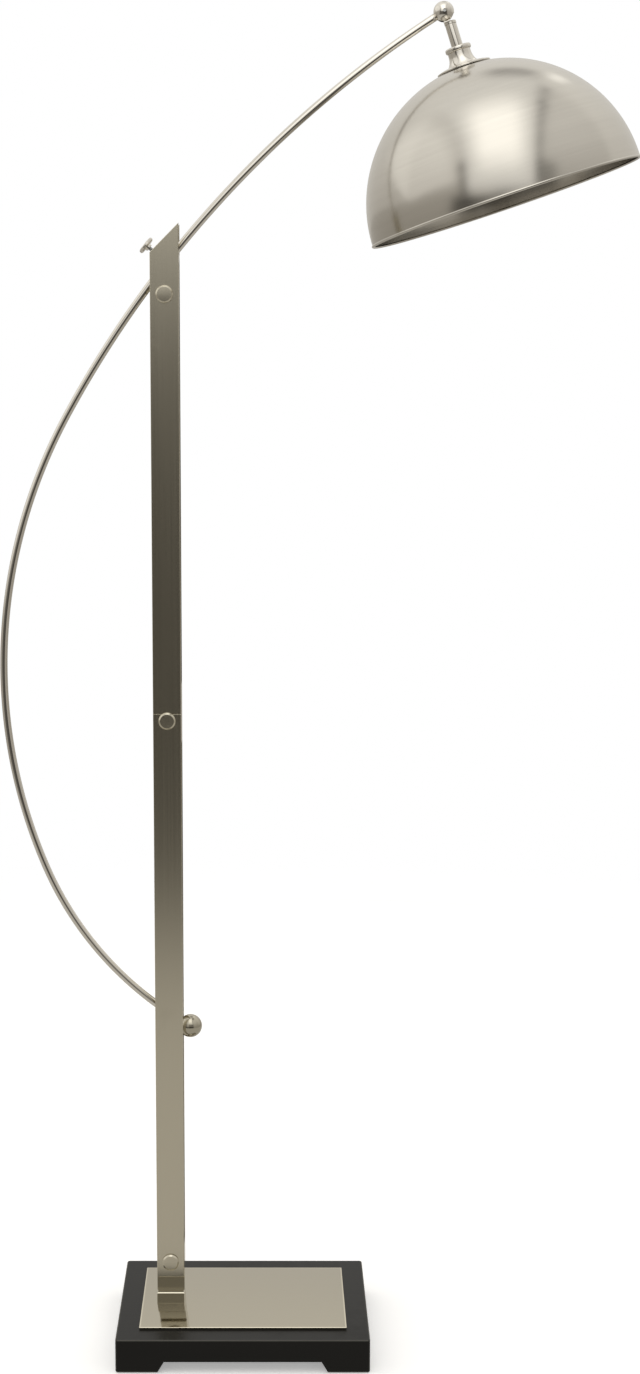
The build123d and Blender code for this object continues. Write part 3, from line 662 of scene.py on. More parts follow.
def tube_tree():
    """Round tube skin that follows a line of edges."""
    board, given, gives = group_board(
        "tube_along_line", "GeometryNodeTree",
        [("Geometry", SHAPE, None), ("Radius", FLOAT, 0.005), ("Sides", WHOLE, 40),
         ("Material", PAINT, None)],
        [("Geometry", SHAPE)])
    line = board.add("GeometryNodeMeshToCurve", {"Mesh": given["Geometry"]}).outputs["Curve"]
    ring = board.add("GeometryNodeCurvePrimitiveCircle",
                     {"Radius": given["Radius"], "Resolution": given["Sides"]}).outputs["Curve"]
    skin = board.add("GeometryNodeCurveToMesh", {"Curve": line, "Profile Curve": ring}).outputs["Mesh"]
    return end_tree(board, given, gives, skin)


def corners_tree():
    """Copies of a piece at the four corners of a level rectangle."""
    board, given, gives = group_board(
        "at_four_corners", "GeometryNodeTree",
        [("Geometry", SHAPE, None), ("Spacing X", FLOAT, 0.2), ("Spacing Y", FLOAT, 0.2),
         ("Material", PAINT, None)],
        [("Geometry", SHAPE)])
    corners = board.add("GeometryNodeMeshGrid", {"Size X": given["Spacing X"], "Size Y": given["Spacing Y"],
                                                 "Vertices X": 2, "Vertices Y": 2}).outputs["Mesh"]
    copies = board.add("GeometryNodeInstanceOnPoints", {"Points": corners, "Instance": given["Geometry"]})
    return end_tree(board, given, gives, copies.outputs["Instances"])


def heights_tree():
    """Copies of a piece at three heights up a post."""
    heights = ("Low Height", "Middle Height", "Top Height")
    board, given, gives = group_board(
        "at_three_heights", "GeometryNodeTree",
        [("Geometry", SHAPE, None), *((label, FLOAT, 0.0) for label in heights), ("Material", PAINT, None)],
        [("Geometry", SHAPE)])
    gathered = board.add("GeometryNodeJoinGeometry")
    for label in heights:
        shift = board.add("ShaderNodeCombineXYZ", {"Z": given[label]}).outputs[0]
        copy = board.add("GeometryNodeTransform", {"Geometry": given["Geometry"], "Translation": shift})
        board.tree.links.new(copy.outputs["Geometry"], gathered.inputs["Geometry"])
    return end_tree(board, given, gives, gathered.outputs["Geometry"])


def ribs_tree():
    """Grip ribs, each a fine rod along Z, standing round a rim."""
    board, given, gives = group_board(
        "ribs_round_rim", "GeometryNodeTree",
        [("Geometry", SHAPE, None), ("Rim Radius", FLOAT, 0.01), ("Rib Radius", FLOAT, 0.0004),
         ("Rib Length", FLOAT, 0.003), ("Rib Count", WHOLE, 40), ("Material", PAINT, None)],
        [("Geometry", SHAPE)])
    rim = board.add("GeometryNodeMeshCircle", {"Vertices": given["Rib Count"], "Radius": given["Rim Radius"]})
    rod = board.add("GeometryNodeMeshCylinder", {"Vertices": 10, "Side Segments": 1,
                                                 "Radius": given["Rib Radius"],
                                                 "Depth": given["Rib Length"]}).outputs["Mesh"]
    ribs = board.add("GeometryNodeInstanceOnPoints", {"Points": rim.outputs["Mesh"], "Instance": rod})
    joined = board.add("GeometryNodeJoinGeometry")
    board.tree.links.new(ribs.outputs["Instances"], joined.inputs["Geometry"])
    board.tree.links.new(given["Geometry"], joined.inputs["Geometry"])
    return end_tree(board, given, gives, joined.outputs["Geometry"])


# ---------------------------------------------------------------- operators
class LampOperator(Operator):
    bl_options = {"REGISTER"}

    def execute(self, context):
        self.build(context.scene)
        return {"FINISHED"}


class LAMP_OT_finishes(LampOperator):
    """Make every finish and put them on the CAD pieces that stay as they are"""
    bl_idname = "lamp.finishes"
    bl_label = "Finishes"

    def build(self, scene):
        make_finishes(scene.lamp_finishes)
        for material, nodes in CAD_FINISHES.items():
            for name in nodes:
                NODES[name].data.materials.clear()
                NODES[name].data.materials.append(bpy.data.materials[material])


class LAMP_OT_foot_pads(LampOperator):
    """Moulded rubber pads with a chamfer and ring grooves, one under each corner"""
    bl_idname = "lamp.foot_pads"
    bl_label = "Foot pads"

    def build(self, scene):
        low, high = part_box("foot_pads")
        outline = [(0.0, 3.5), (10.0, 3.5), (10.0, 0.6), (9.4, 0.0), (8.0, 0.0), (7.6, 0.5), (6.8, 0.5),
                   (6.4, 0.0), (4.6, 0.0), (4.2, 0.5), (3.4, 0.5), (3.0, 0.0), (0.0, 0.0)]
        mesh = turned_mesh("rubber_pads", rounded(in_metres(outline), 0.12 * MM, 2), Matrix(), 40)
        pads = loose_object("rubber_pads", mesh)
        span = high - low
        pad_width = 20.0 * MM
        grow(pads, corners_tree(), {"Spacing X": span.x - pad_width, "Spacing Y": span.y - pad_width,
                                    "Material": bpy.data.materials["pad_rubber"]})
        settle(pads, "pad_rubber", "stand", ["foot_pads"])


class LAMP_OT_base_plate(LampOperator):
    """Brushed plate on the plinth, with bevelled edges and an undercut that leaves a shadow line"""
    bl_idname = "lamp.base_plate"
    bl_label = "Base plate"

    def build(self, scene):
        low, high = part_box("base_plate")
        inset, shadow_gap, bevel = 1.8 * MM, 1.5 * MM, 0.7 * MM
        undercut = Vector((inset, inset, 0))
        step = Vector((0, 0, shadow_gap))
        skin = bevelled_box(low + step, high, bevel)
        mesh = bpy.data.meshes.new("undercut_plate")
        skin.to_mesh(mesh)
        seat = bevelled_box(low + undercut, Vector((high.x, high.y, low.z)) - undercut + step * 1.2, 0.2 * MM)
        lower = bpy.data.meshes.new("seat")
        seat.to_mesh(lower)
        skin.from_mesh(lower)
        skin.to_mesh(mesh)
        skin.free()
        seat.free()
        bpy.data.meshes.remove(lower)
        new_piece("undercut_plate", mesh, "nickel_base_plate", "stand", ["base_plate"], 12)


class LAMP_OT_cover_screws(LampOperator):
    """Countersunk cross-head screws that hold the underside cover"""
    bl_idname = "lamp.cover_screws"
    bl_label = "Cover screws"

    def build(self, scene):
        low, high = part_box("cover_screws")
        head, shank, point = 3.5, 1.75, 1.5
        tall = (high.z - low.z) / MM
        outline = [(0.0, 0.0), (head, 0.0), (shank, shank), (shank, tall - point), (0.0, tall)]
        fine = dense(in_metres(outline), 0.2 * MM)
        wave = thread_wave(1.3 * MM, 0.35 * MM, 3.0 * MM, tall * MM, 1.2 * MM)
        mesh = turned_mesh("cover_cross_screws", fine, Matrix(), 24, wave)
        screw = loose_object("cover_cross_screws", mesh)
        arm, slot, deep = 2.1 * MM, 0.45 * MM, 1.3 * MM
        cross = [((-arm, -slot, -deep), (arm, slot, deep)), ((-slot, -arm, -deep), (slot, arm, deep))]
        for bar in cross:
            carved(screw, boxes_object("cross_cut", [bar]))
        screw.data.transform(Matrix.Translation((0, 0, low.z)))
        span = high - low
        wide = 2 * head * MM
        grow(screw, corners_tree(), {"Spacing X": span.x - wide, "Spacing Y": span.y - wide,
                                     "Material": bpy.data.materials["zinc_plate"]})
        settle(screw, "zinc_plate", "stand", ["cover_screws"])


class LAMP_OT_post_bolts(LampOperator):
    """Bevelled bolt heads in front and cap nuts behind, at three heights up the post"""
    bl_idname = "lamp.post_bolts"
    bl_label = "Post bolts"

    def build(self, scene):
        low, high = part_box("post_bolts")
        nut_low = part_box("post_cap_nuts")[0]
        head_r = (high.x - low.x) / 2
        face_r, shank_r, head_h, nut_h = head_r - 2.0 * MM, 4.0 * MM, 4.0 * MM, 6.0 * MM
        middle_x = (low.x + high.x) / 2
        above_splice, round_edge, nut_fit = 29.1 * MM, 0.4 * MM, 0.02 * MM
        heights = {"Low Height": low.z + head_r, "Top Height": high.z - head_r,
                   "Middle Height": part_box("splice_block")[0].z + above_splice,
                   "Material": bpy.data.materials["nickel_turned"]}
        tree = heights_tree()
        front = low.y + head_h
        shank = high.y - front
        bevel = head_r - face_r
        outline = [(0.0, -head_h), (face_r, -head_h), (head_r, bevel - head_h), (head_r, 0.0, 0.0),
                   (shank_r, 0.0, 0.0), (shank_r, shank), (0.0, shank)]
        place = along_axis(Vector((middle_x, front, 0)), Vector((0, 1, 0)))
        mesh = turned_mesh("bevelled_bolts", rounded(outline, round_edge), place, 72)
        bolts = loose_object("bevelled_bolts", mesh)
        settle(grow(bolts, tree, heights), "nickel_turned", "stand", ["post_bolts"])
        deep = shank - (nut_low.y - front)
        outline = [(0.0, nut_h), (face_r, nut_h), (head_r, nut_h - bevel), (head_r, 0.0, 0.0),
                   (shank_r + nut_fit, 0.0, 0.0), (shank_r + nut_fit, deep, 0.0), (0.0, deep)]
        place = along_axis(Vector((middle_x, nut_low.y, 0)), Vector((0, 1, 0)))
        nuts = loose_object("bevelled_cap_nuts",
                            turned_mesh("bevelled_cap_nuts", rounded(outline, round_edge), place, 72))
        settle(grow(nuts, tree, heights), "nickel_turned", "stand", ["post_cap_nuts"])


class LAMP_OT_thumb_screw(LampOperator):
    """Thumb screw of the clamp: threaded stud and ribbed round knob"""
    bl_idname = "lamp.thumb_screw"
    bl_label = "Thumb screw"

    def build(self, scene):
        sizes = scene.lamp_clamp
        knob_place = along_axis(Vector(JOINTS["clamp_screw_turn"]["pos_m"]), SCREW_AXIS)
        stud_from, stud_to = -23.15 * MM, 3.6 * MM
        radius = sizes.screw_diameter / 2
        core = radius - sizes.thread_depth / 2
        outline = [(0.0, stud_from), (core, stud_from), (core, stud_to), (0.0, stud_to)]
        outline = dense(outline, sizes.screw_pitch / 8)
        wave = thread_wave(sizes.screw_pitch, sizes.thread_depth, stud_from, -3.0 * MM, 0.5 * MM)
        turned_piece("threaded_stud", outline, knob_place, "zinc_plate", "clamp_thumbscrew",
                     ["clamp_screw"], 24, wave)
        rim, hub, thick, hub_long, edge = 11.0, 4.5, 4.6, 3.0, 1.0
        dish, dish_depth, hole = 5.0, 0.7, 2.5
        outline = [(hole, -hub_long, 0.0), (hub, -hub_long), (hub, 0.0), (rim - edge, 0.0), (rim, edge),
                   (rim, thick - edge), (rim - edge, thick), (dish, thick), (dish - 1.0, thick - dish_depth),
                   (0.0, thick - dish_depth), (0.0, thick - edge), (hole, thick - edge, 0.0)]
        mesh = turned_mesh("ribbed_knob", rounded(in_metres(outline), 0.25 * MM, 3), Matrix(), 88)
        knob = loose_object("ribbed_knob", mesh)
        knob.data.transform(Matrix.Translation((0, 0, -thick / 2 * MM)))
        grow(knob, ribs_tree(), {"Rim Radius": (rim - 0.15) * MM, "Rib Radius": sizes.rib_radius,
                                 "Rib Length": (thick - 2 * edge) * MM, "Rib Count": sizes.knob_ribs,
                                 "Material": bpy.data.materials["nickel_polished"]})
        knob.data.transform(knob_place @ Matrix.Translation((0, 0, thick / 2 * MM)))
        settle(knob, "nickel_polished", "clamp_thumbscrew", ["clamp_knob"])


class LAMP_OT_arm_tube(LampOperator):
    """Bent arm tube: three bends in line, with a true wall"""
    bl_idname = "lamp.arm_tube"
    bl_label = "Arm tube"

    def build(self, scene):
        sizes = scene.lamp_arm
        bends = [(sizes.top_bend, sizes.top_sweep), (sizes.middle_bend, sizes.middle_sweep),
                 (sizes.low_bend, sizes.low_sweep)]
        turn, point, line = sizes.start_angle, TOP_BALL, []
        for index, (radius, sweep) in enumerate(bends):
            centre = point - Vector((cos(turn), 0, sin(turn))) * radius
            first = sizes.top_seat / radius if index == 0 else 0.0
            last = sizes.low_seat / radius if index == len(bends) - 1 else 0.0
            steps = ceil(radius * sweep / sizes.tube_step)
            for step in range(0 if index == 0 else 1, steps + 1):
                here = turn + first + (sweep - first - last) * step / steps
                line.append(centre + Vector((cos(here), 0, sin(here))) * radius)
            turn += sweep
            point = centre + Vector((cos(turn), 0, sin(turn))) * radius
        mesh = bpy.data.meshes.new("bent_tube")
        mesh.from_pydata(line, [(index, index + 1) for index in range(len(line) - 1)], [])
        tube = loose_object("bent_tube", mesh)
        grow(tube, tube_tree(), {"Radius": sizes.tube_diameter / 2, "Sides": sizes.tube_sides,
                                 "Material": bpy.data.materials["nickel_polished"]})
        wall = tube.modifiers.new("wall", "SOLIDIFY")
        wall.thickness = sizes.tube_wall
        wall.offset = -1.0
        wall.use_rim = True
        settle(tube, "nickel_polished", "arm", ["arm_tube"])


class HeadOperator(LampOperator):
    """Shared by the pieces that are turned round the head's own axis."""
    cap_length = 12.0

    def place(self, scene):
        sizes = scene.lamp_head
        lean = Matrix.Rotation(-sizes.tilt, 4, "Y")
        return Matrix.Translation(TOP_BALL) @ lean @ Matrix.Translation((sizes.neck_offset, 0, 0))

    def turn(self, scene, name, outline, material, slot, nodes, sides=96, wave=None, edge=None, step=None):
        edge = scene.lamp_head.edge_round if edge is None else edge
        smooth = rounded(scaled(outline), edge)
        if step:
            smooth = dense(smooth, step)
        return turned_piece(name, smooth, self.place(scene), material, "head", nodes, sides, wave)

    def cap_top(self):
        """Distance from the top ball down the head's axis to the socket cap, from the shade's own sizes."""
        inside, rim_plane, washer_radius, seat_gap = 172.0, 243.0, 16.0, 0.05
        washer, nut, nut_gap = 1.5, 5.0, 0.6
        washer_top = rim_plane - sqrt(inside ** 2 - washer_radius ** 2) + seat_gap
        return washer_top + washer + nut + nut_gap

    def shell_top(self):
        """Distance from the top ball to the screw shell, past the cap, the body and the insulator."""
        cap_overlap, body_depth, insulator = 5.0, 16.0, 3.0
        return self.cap_top() + self.cap_length - cap_overlap + body_depth + insulator


class LAMP_OT_neck(HeadOperator):
    """Neck tube, ring, flared cup and trim disc, stacked above the shade"""
    bl_idname = "lamp.neck"
    bl_label = "Neck and cup"

    def build(self, scene):
        sizes = scene.lamp_head
        polished = ("nickel_polished", "nickel_polished")
        bore, neck_bore, neck_radius, ring_radius, hollow_radius = 5.15, 5.2, 7.1, 16.2, 12.8
        neck_top, ring_top, cup_top, hollow_top, cup_foot = 17.0, 45.0, 51.0, 54.2, 67.95
        tube = [(neck_bore, neck_top, 0.0), (neck_bore, ring_top, 0.0), (neck_radius, ring_top, 0.0),
                (neck_radius, neck_top, 1.2)]
        self.turn(scene, "polished_neck", tube, *polished, ["neck_tube"])
        ring = [(bore, ring_top, 0.0), (ring_radius, ring_top, 2.4), (ring_radius, cup_top, 2.4),
                (bore, cup_top, 0.0)]
        self.turn(scene, "polished_ring", ring, *polished, ["cup_ring"])
        top_radius, foot_radius, steps = 14.2, 19.4, 20
        flare = []
        for step in range(1, steps):
            part = step / steps
            radius = top_radius + (foot_radius - top_radius) * part ** 3
            flare.append((radius, cup_top + (cup_foot - cup_top) * part, 0.0))
        cup = [(bore, cup_top, 0.0), (top_radius, cup_top, 0.3), *flare, (foot_radius, cup_foot, 0.3),
               (hollow_radius, cup_foot, 0.0), (hollow_radius, hollow_top, 0.0), (bore, hollow_top, 0.0)]
        self.turn(scene, "flared_cup", cup, *polished, ["shade_cup"])
        dome, drop, flat, rim = sizes.shade_radius / MM, sizes.shade_drop / MM, 20.0, 33.75
        steps = 12
        disc_edge = drop - sqrt(dome ** 2 - rim ** 2) - 0.6
        edge_top = disc_edge - 1.8
        hub_low, seat_gap, edge_gap = 69.95, 0.05, 0.6
        disc = [(bore, cup_foot, 0.0), (flat, cup_foot, 0.0)]
        for step in range(1, steps):
            part = step / steps
            disc.append((flat + (rim - flat) * part, cup_foot + (edge_top - cup_foot) * part ** 1.6, 0.0))
        disc += [(rim, edge_top, 0.7), (rim, disc_edge, 0.7)]
        for step in range(1, steps):
            part = step / steps
            radius = rim - (rim - bore) * part
            gap = seat_gap + (edge_gap - seat_gap) * (1 - part)
            disc.append((radius, drop - sqrt(dome ** 2 - radius ** 2) - gap, 0.0))
        disc.append((bore, hub_low, 0.0))
        self.turn(scene, "trim_disc", disc, *polished, ["shade_disc"], 160)


class LAMP_OT_shade(HeadOperator):
    """Spun dome with its rolled rim and the map that its brushing follows"""
    bl_idname = "lamp.shade"
    bl_label = "Shade"

    def build(self, scene):
        sizes = scene.lamp_head
        outer, wall, drop, bead = sizes.shade_radius, sizes.shade_wall, -sizes.shade_drop, sizes.rim_bead
        hole = 5.15 * MM
        steps = 72

        def arc(radius, first, last, count):
            return [(radius * cos(first + (last - first) * step / count),
                     drop + radius * sin(first + (last - first) * step / count)) for step in range(count + 1)]

        def at_hole(radius):
            return atan2(sqrt(radius ** 2 - hole ** 2), hole)

        inner = outer - wall
        seat = outer - wall / 2
        off = sqrt(bead ** 2 - (wall / 2) ** 2)
        outline = arc(outer, at_hole(outer), off / outer, steps)
        start, round_steps = atan2(off, wall / 2), 28
        sweep = 2 * pi - (pi - 2 * start)
        for step in range(1, round_steps):
            here = start - sweep * step / round_steps
            outline.append((seat + bead * cos(here), drop + bead * sin(here)))
        outline += arc(inner, off / inner, at_hole(inner), steps)
        mesh = turned_mesh("spun_dome", outline, self.place(scene), 240)
        new_piece("spun_dome", mesh, "nickel_shade", "head", ["shade_dome"])


class LAMP_OT_socket(HeadOperator):
    """Lamp socket: stepped brass cap, rolled screw shell and the threaded nipple"""
    bl_idname = "lamp.socket"
    bl_label = "Socket"

    def build(self, scene):
        sizes = scene.lamp_head
        brass = ("turned_brass", "bare_brass")
        top, tall, outer, skin, shoulder = self.cap_top(), self.cap_length, 19.5, 1.2, 4.0
        inner = outer - skin
        cap = [(5.02, top, 0.0), (outer - shoulder, top, 0.8), (outer, top + shoulder, 1.6),
               (outer, top + tall, 0.3),
               (inner, top + tall, 0.0), (inner, top + skin + shoulder, 0.0),
               (inner - shoulder, top + skin, 0.0),
               (5.02, top + skin, 0.0)]
        self.turn(scene, "socket_cap_turned", cap, *brass, ["socket_cap"])
        shell_top = self.shell_top()
        shell_low = shell_top + 24.0
        hole, shell_outer, shell_wall = 5.0, 13.6, 0.6
        shell_inner = shell_outer - shell_wall
        shell = [(hole, shell_top, 0.0), (shell_outer, shell_top, 1.0), (shell_outer, shell_low, 0.0),
                 (shell_inner, shell_low, 0.0), (shell_inner, shell_top + shell_wall, 0.6),
                 (hole, shell_top + shell_wall, 0.0)]
        pitch, depth = sizes.lamp_thread_pitch, sizes.lamp_thread_depth
        low, high = -(shell_low - 1.0) * MM, -(shell_top + 2.5) * MM
        plain = thread_wave(pitch, depth, low, high, 1.5 * MM)

        def wall_wave(radius, height, turn):
            return plain(radius, height, turn) if radius > 12.0 * MM else 0.0

        self.turn(scene, "rolled_shell", shell, *brass, ["screw_shell"], 72, wall_wave, 0.0, 0.45 * MM)
        nipple_bore, nipple_radius, nipple_top, nipple_low = 3.5, 4.85, 28.0, top + 4.0
        nipple = [(nipple_bore, nipple_top, 0.0), (nipple_radius, nipple_top, 0.2),
                  (nipple_radius, nipple_low, 0.2), (nipple_bore, nipple_low, 0.0)]
        wave = thread_wave(1.0 * MM, 0.3 * MM, -(nipple_low - 0.2) * MM, -(nipple_top + 0.2) * MM, 0.6 * MM)

        def outer_wave(radius, height, turn):
            return wave(radius, height, turn) if radius > 4.0 * MM else 0.0

        self.turn(scene, "nipple_threaded", nipple, *brass, ["threaded_nipple"], 36, outer_wave, 0.0,
                  0.13 * MM)


class LAMP_OT_bulb(HeadOperator):
    """Frosted bulb: blown glass and its rolled screw base"""
    bl_idname = "lamp.bulb"
    bl_label = "Bulb"

    def build(self, scene):
        sizes = scene.lamp_head
        shell_top = self.shell_top()
        tip_top = shell_top + 1.4 + 0.2
        collar = tip_top + 2.2
        base_low = collar + 24.0
        base_radius, base_bore, floor = 12.6, 10.7, collar + 4.0
        base = [(0.0, tip_top), (2.4, tip_top + 0.1), (4.5, collar, 0.3), (11.5, collar, 0.8),
                (base_radius, collar + 3.0, 1.0), (base_radius, base_low, 0.3), (base_bore, base_low, 0.0),
                (base_bore, floor, 0.0), (0.0, floor)]
        low, high = -(base_low - 2.5) * MM, -(collar + 2.0) * MM
        plain = thread_wave(sizes.lamp_thread_pitch, sizes.lamp_thread_depth * 0.8, low, high, 1.5 * MM)

        def outer_wave(radius, height, turn):
            return plain(radius, height, turn) if radius > 12.0 * MM else 0.0

        self.turn(scene, "bulb_screw_base", base, "bulb_aluminium", "bulb_metal", ["bulb_base"], 72,
                  outer_wave, 0.4 * MM, 0.45 * MM)
        ball, glass, neck, length, join_share = 29.0, 0.9, 12.2, 80.0, 0.62
        neck_steps, ball_steps = 24, 40
        low = base_low + length
        centre = low - ball
        start, join = base_low, centre - ball * join_share

        def skin(offset):
            shape = []
            for step in range(neck_steps + 1):
                part = step / neck_steps
                ease = part * part * (3 - 2 * part)
                radius = neck + (ball * sqrt(1 - join_share ** 2) - neck) * ease
                shape.append((radius - offset, start + (join - start) * part, 0.0))
            lean = atan2(-join_share, sqrt(1 - join_share ** 2))
            for step in range(1, ball_steps + 1):
                turn = lean + (pi / 2 - lean) * step / ball_steps
                shape.append(((ball - offset) * cos(turn), centre + (ball - offset) * sin(turn), 0.0))
            return shape

        outline = skin(0.0)
        outline[-1] = (0.0, low)
        within = skin(glass)
        within[-1] = (0.0, low - glass)
        outline += within[::-1]
        self.turn(scene, "blown_bulb", outline, "frosted_glass", "frosted_glass", ["bulb_glass"], 72, None,
                  0.0)


class LAMP_OT_studio(LampOperator):
    """Pale floor, soft surroundings and the camera"""
    bl_idname = "lamp.studio"
    bl_label = "Studio"

    def build(self, scene):
        stage = scene.lamp_studio
        scene.view_settings.view_transform = "Standard"
        self.floor(stage)
        self.surroundings(scene)
        self.soft_box(stage)
        lens = bpy.data.cameras.new("camera")
        lens.sensor_width = 36.0
        lens.lens = stage.focal_length
        lens.shift_x = stage.frame_shift
        lens.clip_end = 100.0
        camera = loose_object("camera", lens)
        camera.location = stage.camera_place
        camera.rotation_euler = (pi / 2 - stage.camera_tilt, 0.0, 0.0)
        scene.camera = camera

    def soft_box(self, stage):
        """Curved glowing sheet from in front of the shade to just behind it, unseen by the camera."""
        low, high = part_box("shade_dome")
        drop, near, further, steps = 0.05, 1.85, 0.75, 24
        centre = Vector(((low.x + high.x) / 2, 0, (low.z + high.z) / 2 - drop))
        left, right, front, back = radians(-40), radians(21), radians(-4), radians(118)
        build = bmesh.new()
        own_map = build.loops.layers.uv.new("UVMap")
        rows = []
        for row in range(steps + 1):
            over = front + (back - front) * row / steps
            reach = near + further * max(0.0, cos(over))
            rows.append([])
            for column in range(steps + 1):
                side = left + (right - left) * column / steps
                way = Vector((sin(side), -cos(side) * cos(over), cos(side) * sin(over)))
                rows[-1].append((build.verts.new(centre + way * reach), column / steps, row / steps))
        for row in range(steps):
            for column in range(steps):
                corners = (*rows[row][column:column + 2], *reversed(rows[row + 1][column:column + 2]))
                face = build.faces.new([corner[0] for corner in corners])
                for loop, (_, across, along) in zip(face.loops, corners):
                    loop[own_map].uv = (across, along)
        mesh = bpy.data.meshes.new("soft_box")
        build.to_mesh(mesh)
        build.free()
        material = bpy.data.materials.new("soft_box")
        board = bare_board(material)
        place = board.add("ShaderNodeTexCoord").outputs["UV"]
        across, along, _ = board.add("ShaderNodeSeparateXYZ", {0: place}).outputs

        def window(value, low, high, soft):
            enter = board.ranged(value, low, low + soft, smooth=True)
            leave = board.ranged(value, high - soft, high, 1.0, 0.0, smooth=True)
            return board.math("MULTIPLY", enter, leave)

        soft = 0.14
        edge = board.math("MULTIPLY", window(across, 0.0, 1.0, soft), window(along, 0.0, 1.0, soft))
        core = board.math("MULTIPLY", window(across, 0.06, 0.94, 0.3), window(along, 0.1, 0.82, 0.28))
        power = board.math("MULTIPLY_ADD", core, stage.box_core, stage.top_box)
        warm = (1.0, 0.985, 0.95, 1.0)
        glow = board.add("ShaderNodeEmission", {"Color": warm, "Strength": power}).outputs[0]
        clear = board.add("ShaderNodeBsdfTransparent").outputs[0]
        sheet = board.add("ShaderNodeMixShader", {0: edge, 1: clear, 2: glow}).outputs[0]
        board.add("ShaderNodeOutputMaterial", {"Surface": sheet})
        mesh.materials.append(material)
        box = loose_object("soft_box", mesh)
        box.visible_camera = False

    def floor(self, stage):
        """White with soft shadows to the eye, and a dimmer glow in everything that mirrors it."""
        material = bpy.data.materials.new("pale_floor")
        board = bare_board(material)
        place = board.add("ShaderNodeTexCoord").outputs["Object"]
        away = board.add("ShaderNodeVectorMath", {0: place}, operation="LENGTH").outputs["Value"]
        fade = board.ranged(away, 0.5 * stage.floor_radius, stage.floor_radius, smooth=True)
        base = (*stage.floor_colour, 1.0)
        matt = board.add("ShaderNodeBsdfDiffuse", {"Color": base}).outputs[0]
        glow = board.add("ShaderNodeEmission", {"Color": base, "Strength": stage.floor_glow}).outputs[0]
        lit = board.add("ShaderNodeAddShader", {0: matt, 1: glow}).outputs[0]
        clear = board.add("ShaderNodeBsdfTransparent").outputs[0]
        seen = board.add("ShaderNodeMixShader", {0: fade, 1: lit, 2: clear}).outputs[0]
        mirrored = board.add("ShaderNodeEmission", {"Color": (1.0, 0.96, 0.88, 1.0),
                                                    "Strength": stage.floor_mirrored}).outputs[0]
        mirrored = board.add("ShaderNodeMixShader", {0: fade, 1: mirrored, 2: clear}).outputs[0]
        eye = board.add("ShaderNodeLightPath").outputs["Is Camera Ray"]
        both = board.add("ShaderNodeMixShader", {0: eye, 1: mirrored, 2: seen}).outputs[0]
        board.add("ShaderNodeOutputMaterial", {"Surface": both})
        build = bmesh.new()
        bmesh.ops.create_circle(build, cap_ends=True, segments=96, radius=stage.floor_radius)
        mesh = bpy.data.meshes.new("floor")
        build.to_mesh(mesh)
        build.free()
        mesh.materials.append(material)
        loose_object("floor", mesh)

    def surroundings(self, scene):
        """Light walls, dark gaps low in front and beside the soft box, and white to the eye."""
        stage = scene.lamp_studio
        world = bpy.data.worlds.new("studio")
        scene.world = world
        board = bare_board(world)
        way = board.add("ShaderNodeTexCoord").outputs["Generated"]
        x, y, z = board.add("ShaderNodeSeparateXYZ", {0: way}).outputs
        side = board.math("ARCSINE", x)
        over = board.math("ARCTAN2", z, board.math("MULTIPLY", y, -1.0))

        def window(value, low, high, soft):
            low, high, soft = radians(low), radians(high), radians(soft)
            enter = board.ranged(value, low - soft, low + soft, smooth=True)
            leave = board.ranged(value, high - soft, high + soft, 1.0, 0.0, smooth=True)
            return board.math("MULTIPLY", enter, leave)

        low_wall, high_wall = (0.42, 0.395, 0.355, 1.0), (0.86, 0.84, 0.80, 1.0)
        rise = board.math("ARCSINE", z)
        tone = board.blend(board.ranged(rise, radians(-15), radians(55), smooth=True), low_wall, high_wall)
        ceiling = board.ranged(rise, radians(62), radians(82), smooth=True)
        tone = board.blend(ceiling, tone, (1.08, 1.06, 1.02, 1.0))
        dark, bright = stage.dark_gap, stage.top_box + stage.box_core
        unlit = (dark, dark * 0.92, dark * 0.80, 1.0)
        lit = (bright, bright * 0.985, bright * 0.95, 1.0)
        for sides, overs, soft, strength, paint in (
                ((-90, -44), (15, 150), 8, 0.3, lit), ((-90, 90), (105, 185), 10, 0.12, lit),
                ((18, 23), (121, 134), 3, 0.7, lit), ((-14, 34), (4, 30), 6, 0.5, unlit),
                ((-14, 34), (-60, 4), 6, 0.93, unlit), ((-50, -12), (-60, 1), 5, 0.8, unlit),
                ((-43, -33), (-8, 36), 4, 0.6, unlit), ((15, 22), (14, 86), 4, 0.6, unlit),
                ((6, 22), (80, 106), 4, 0.5, unlit), ((-4, 14), (104, 128), 5, 0.5, unlit)):
            mask = board.math("MULTIPLY", window(side, *sides, soft), window(over, *overs, soft))
            tone = board.blend(board.math("MULTIPLY", mask, strength), tone, paint)
        eye = board.add("ShaderNodeLightPath").outputs["Is Camera Ray"]
        both = board.blend(eye, tone, (1.0, 1.0, 1.0, 1.0))
        light = board.add("ShaderNodeBackground", {"Color": both, "Strength": 1.0}).outputs[0]
        board.add("ShaderNodeOutputWorld", {"Surface": light})


class LAMP_PT_sidebar(Panel):
    """Lists the lamp's steps in the 3D view's sidebar"""
    bl_idname = "LAMP_PT_sidebar"
    bl_label = "Arm lamp"
    bl_space_type = "VIEW_3D"
    bl_region_type = "UI"
    bl_category = "Arm lamp"

    def draw(self, context):
        for step in STEPS:
            self.layout.operator(step.bl_idname)


GROUPS = {"lamp_arm": ArmSizes, "lamp_clamp": ClampSizes, "lamp_head": HeadSizes,
          "lamp_finishes": LampFinishes, "lamp_studio": StudioSettings}
STEPS = [LAMP_OT_studio, LAMP_OT_finishes, LAMP_OT_base_plate, LAMP_OT_foot_pads,
         LAMP_OT_cover_screws, LAMP_OT_post_bolts, LAMP_OT_thumb_screw, LAMP_OT_arm_tube,
         LAMP_OT_neck, LAMP_OT_shade, LAMP_OT_socket, LAMP_OT_bulb]


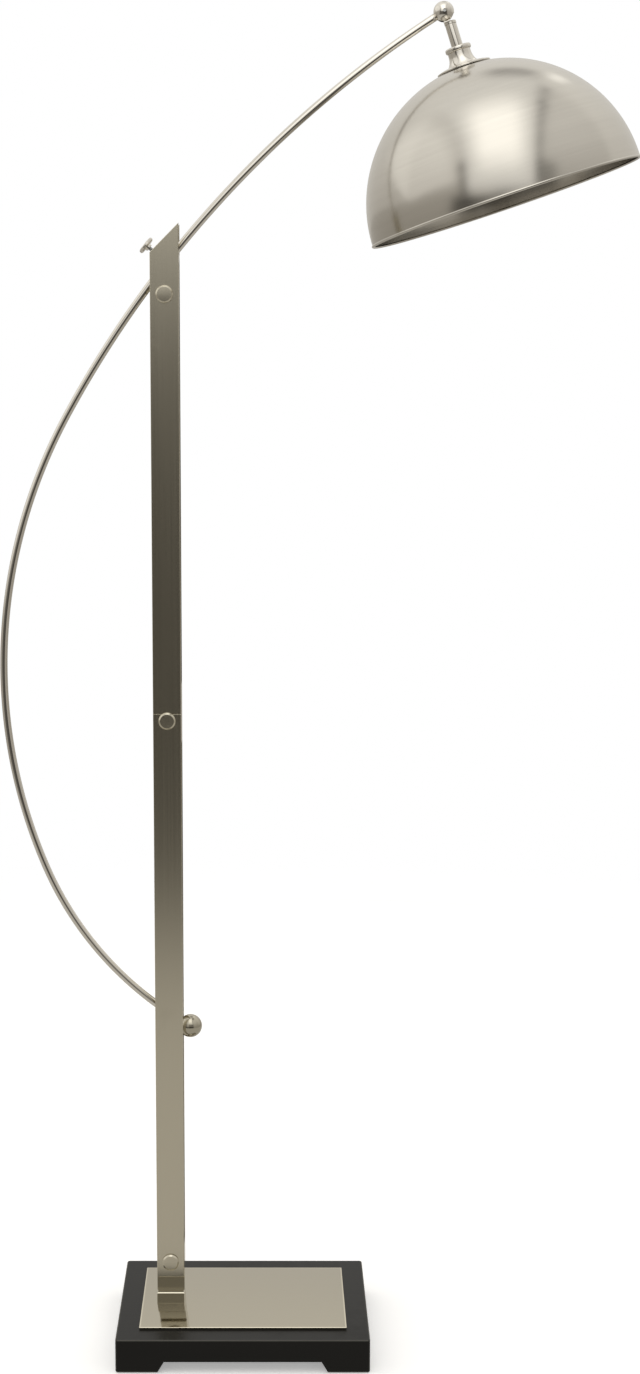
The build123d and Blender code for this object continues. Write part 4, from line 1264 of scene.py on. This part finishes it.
def register():
    for made in [*GROUPS.values(), *STEPS, LAMP_PT_sidebar]:
        bpy.utils.register_class(made)
    for name, group in GROUPS.items():
        setattr(bpy.types.Scene, name, PointerProperty(type=group))


def unregister():
    for name in GROUPS:
        delattr(bpy.types.Scene, name)
    for made in [LAMP_PT_sidebar, *reversed(STEPS), *GROUPS.values()]:
        bpy.utils.unregister_class(made)


def main():
    register()
    for step in STEPS:
        getattr(bpy.ops.lamp, step.bl_idname.split(".")[1])()


if __name__ == "__main__":
    main()
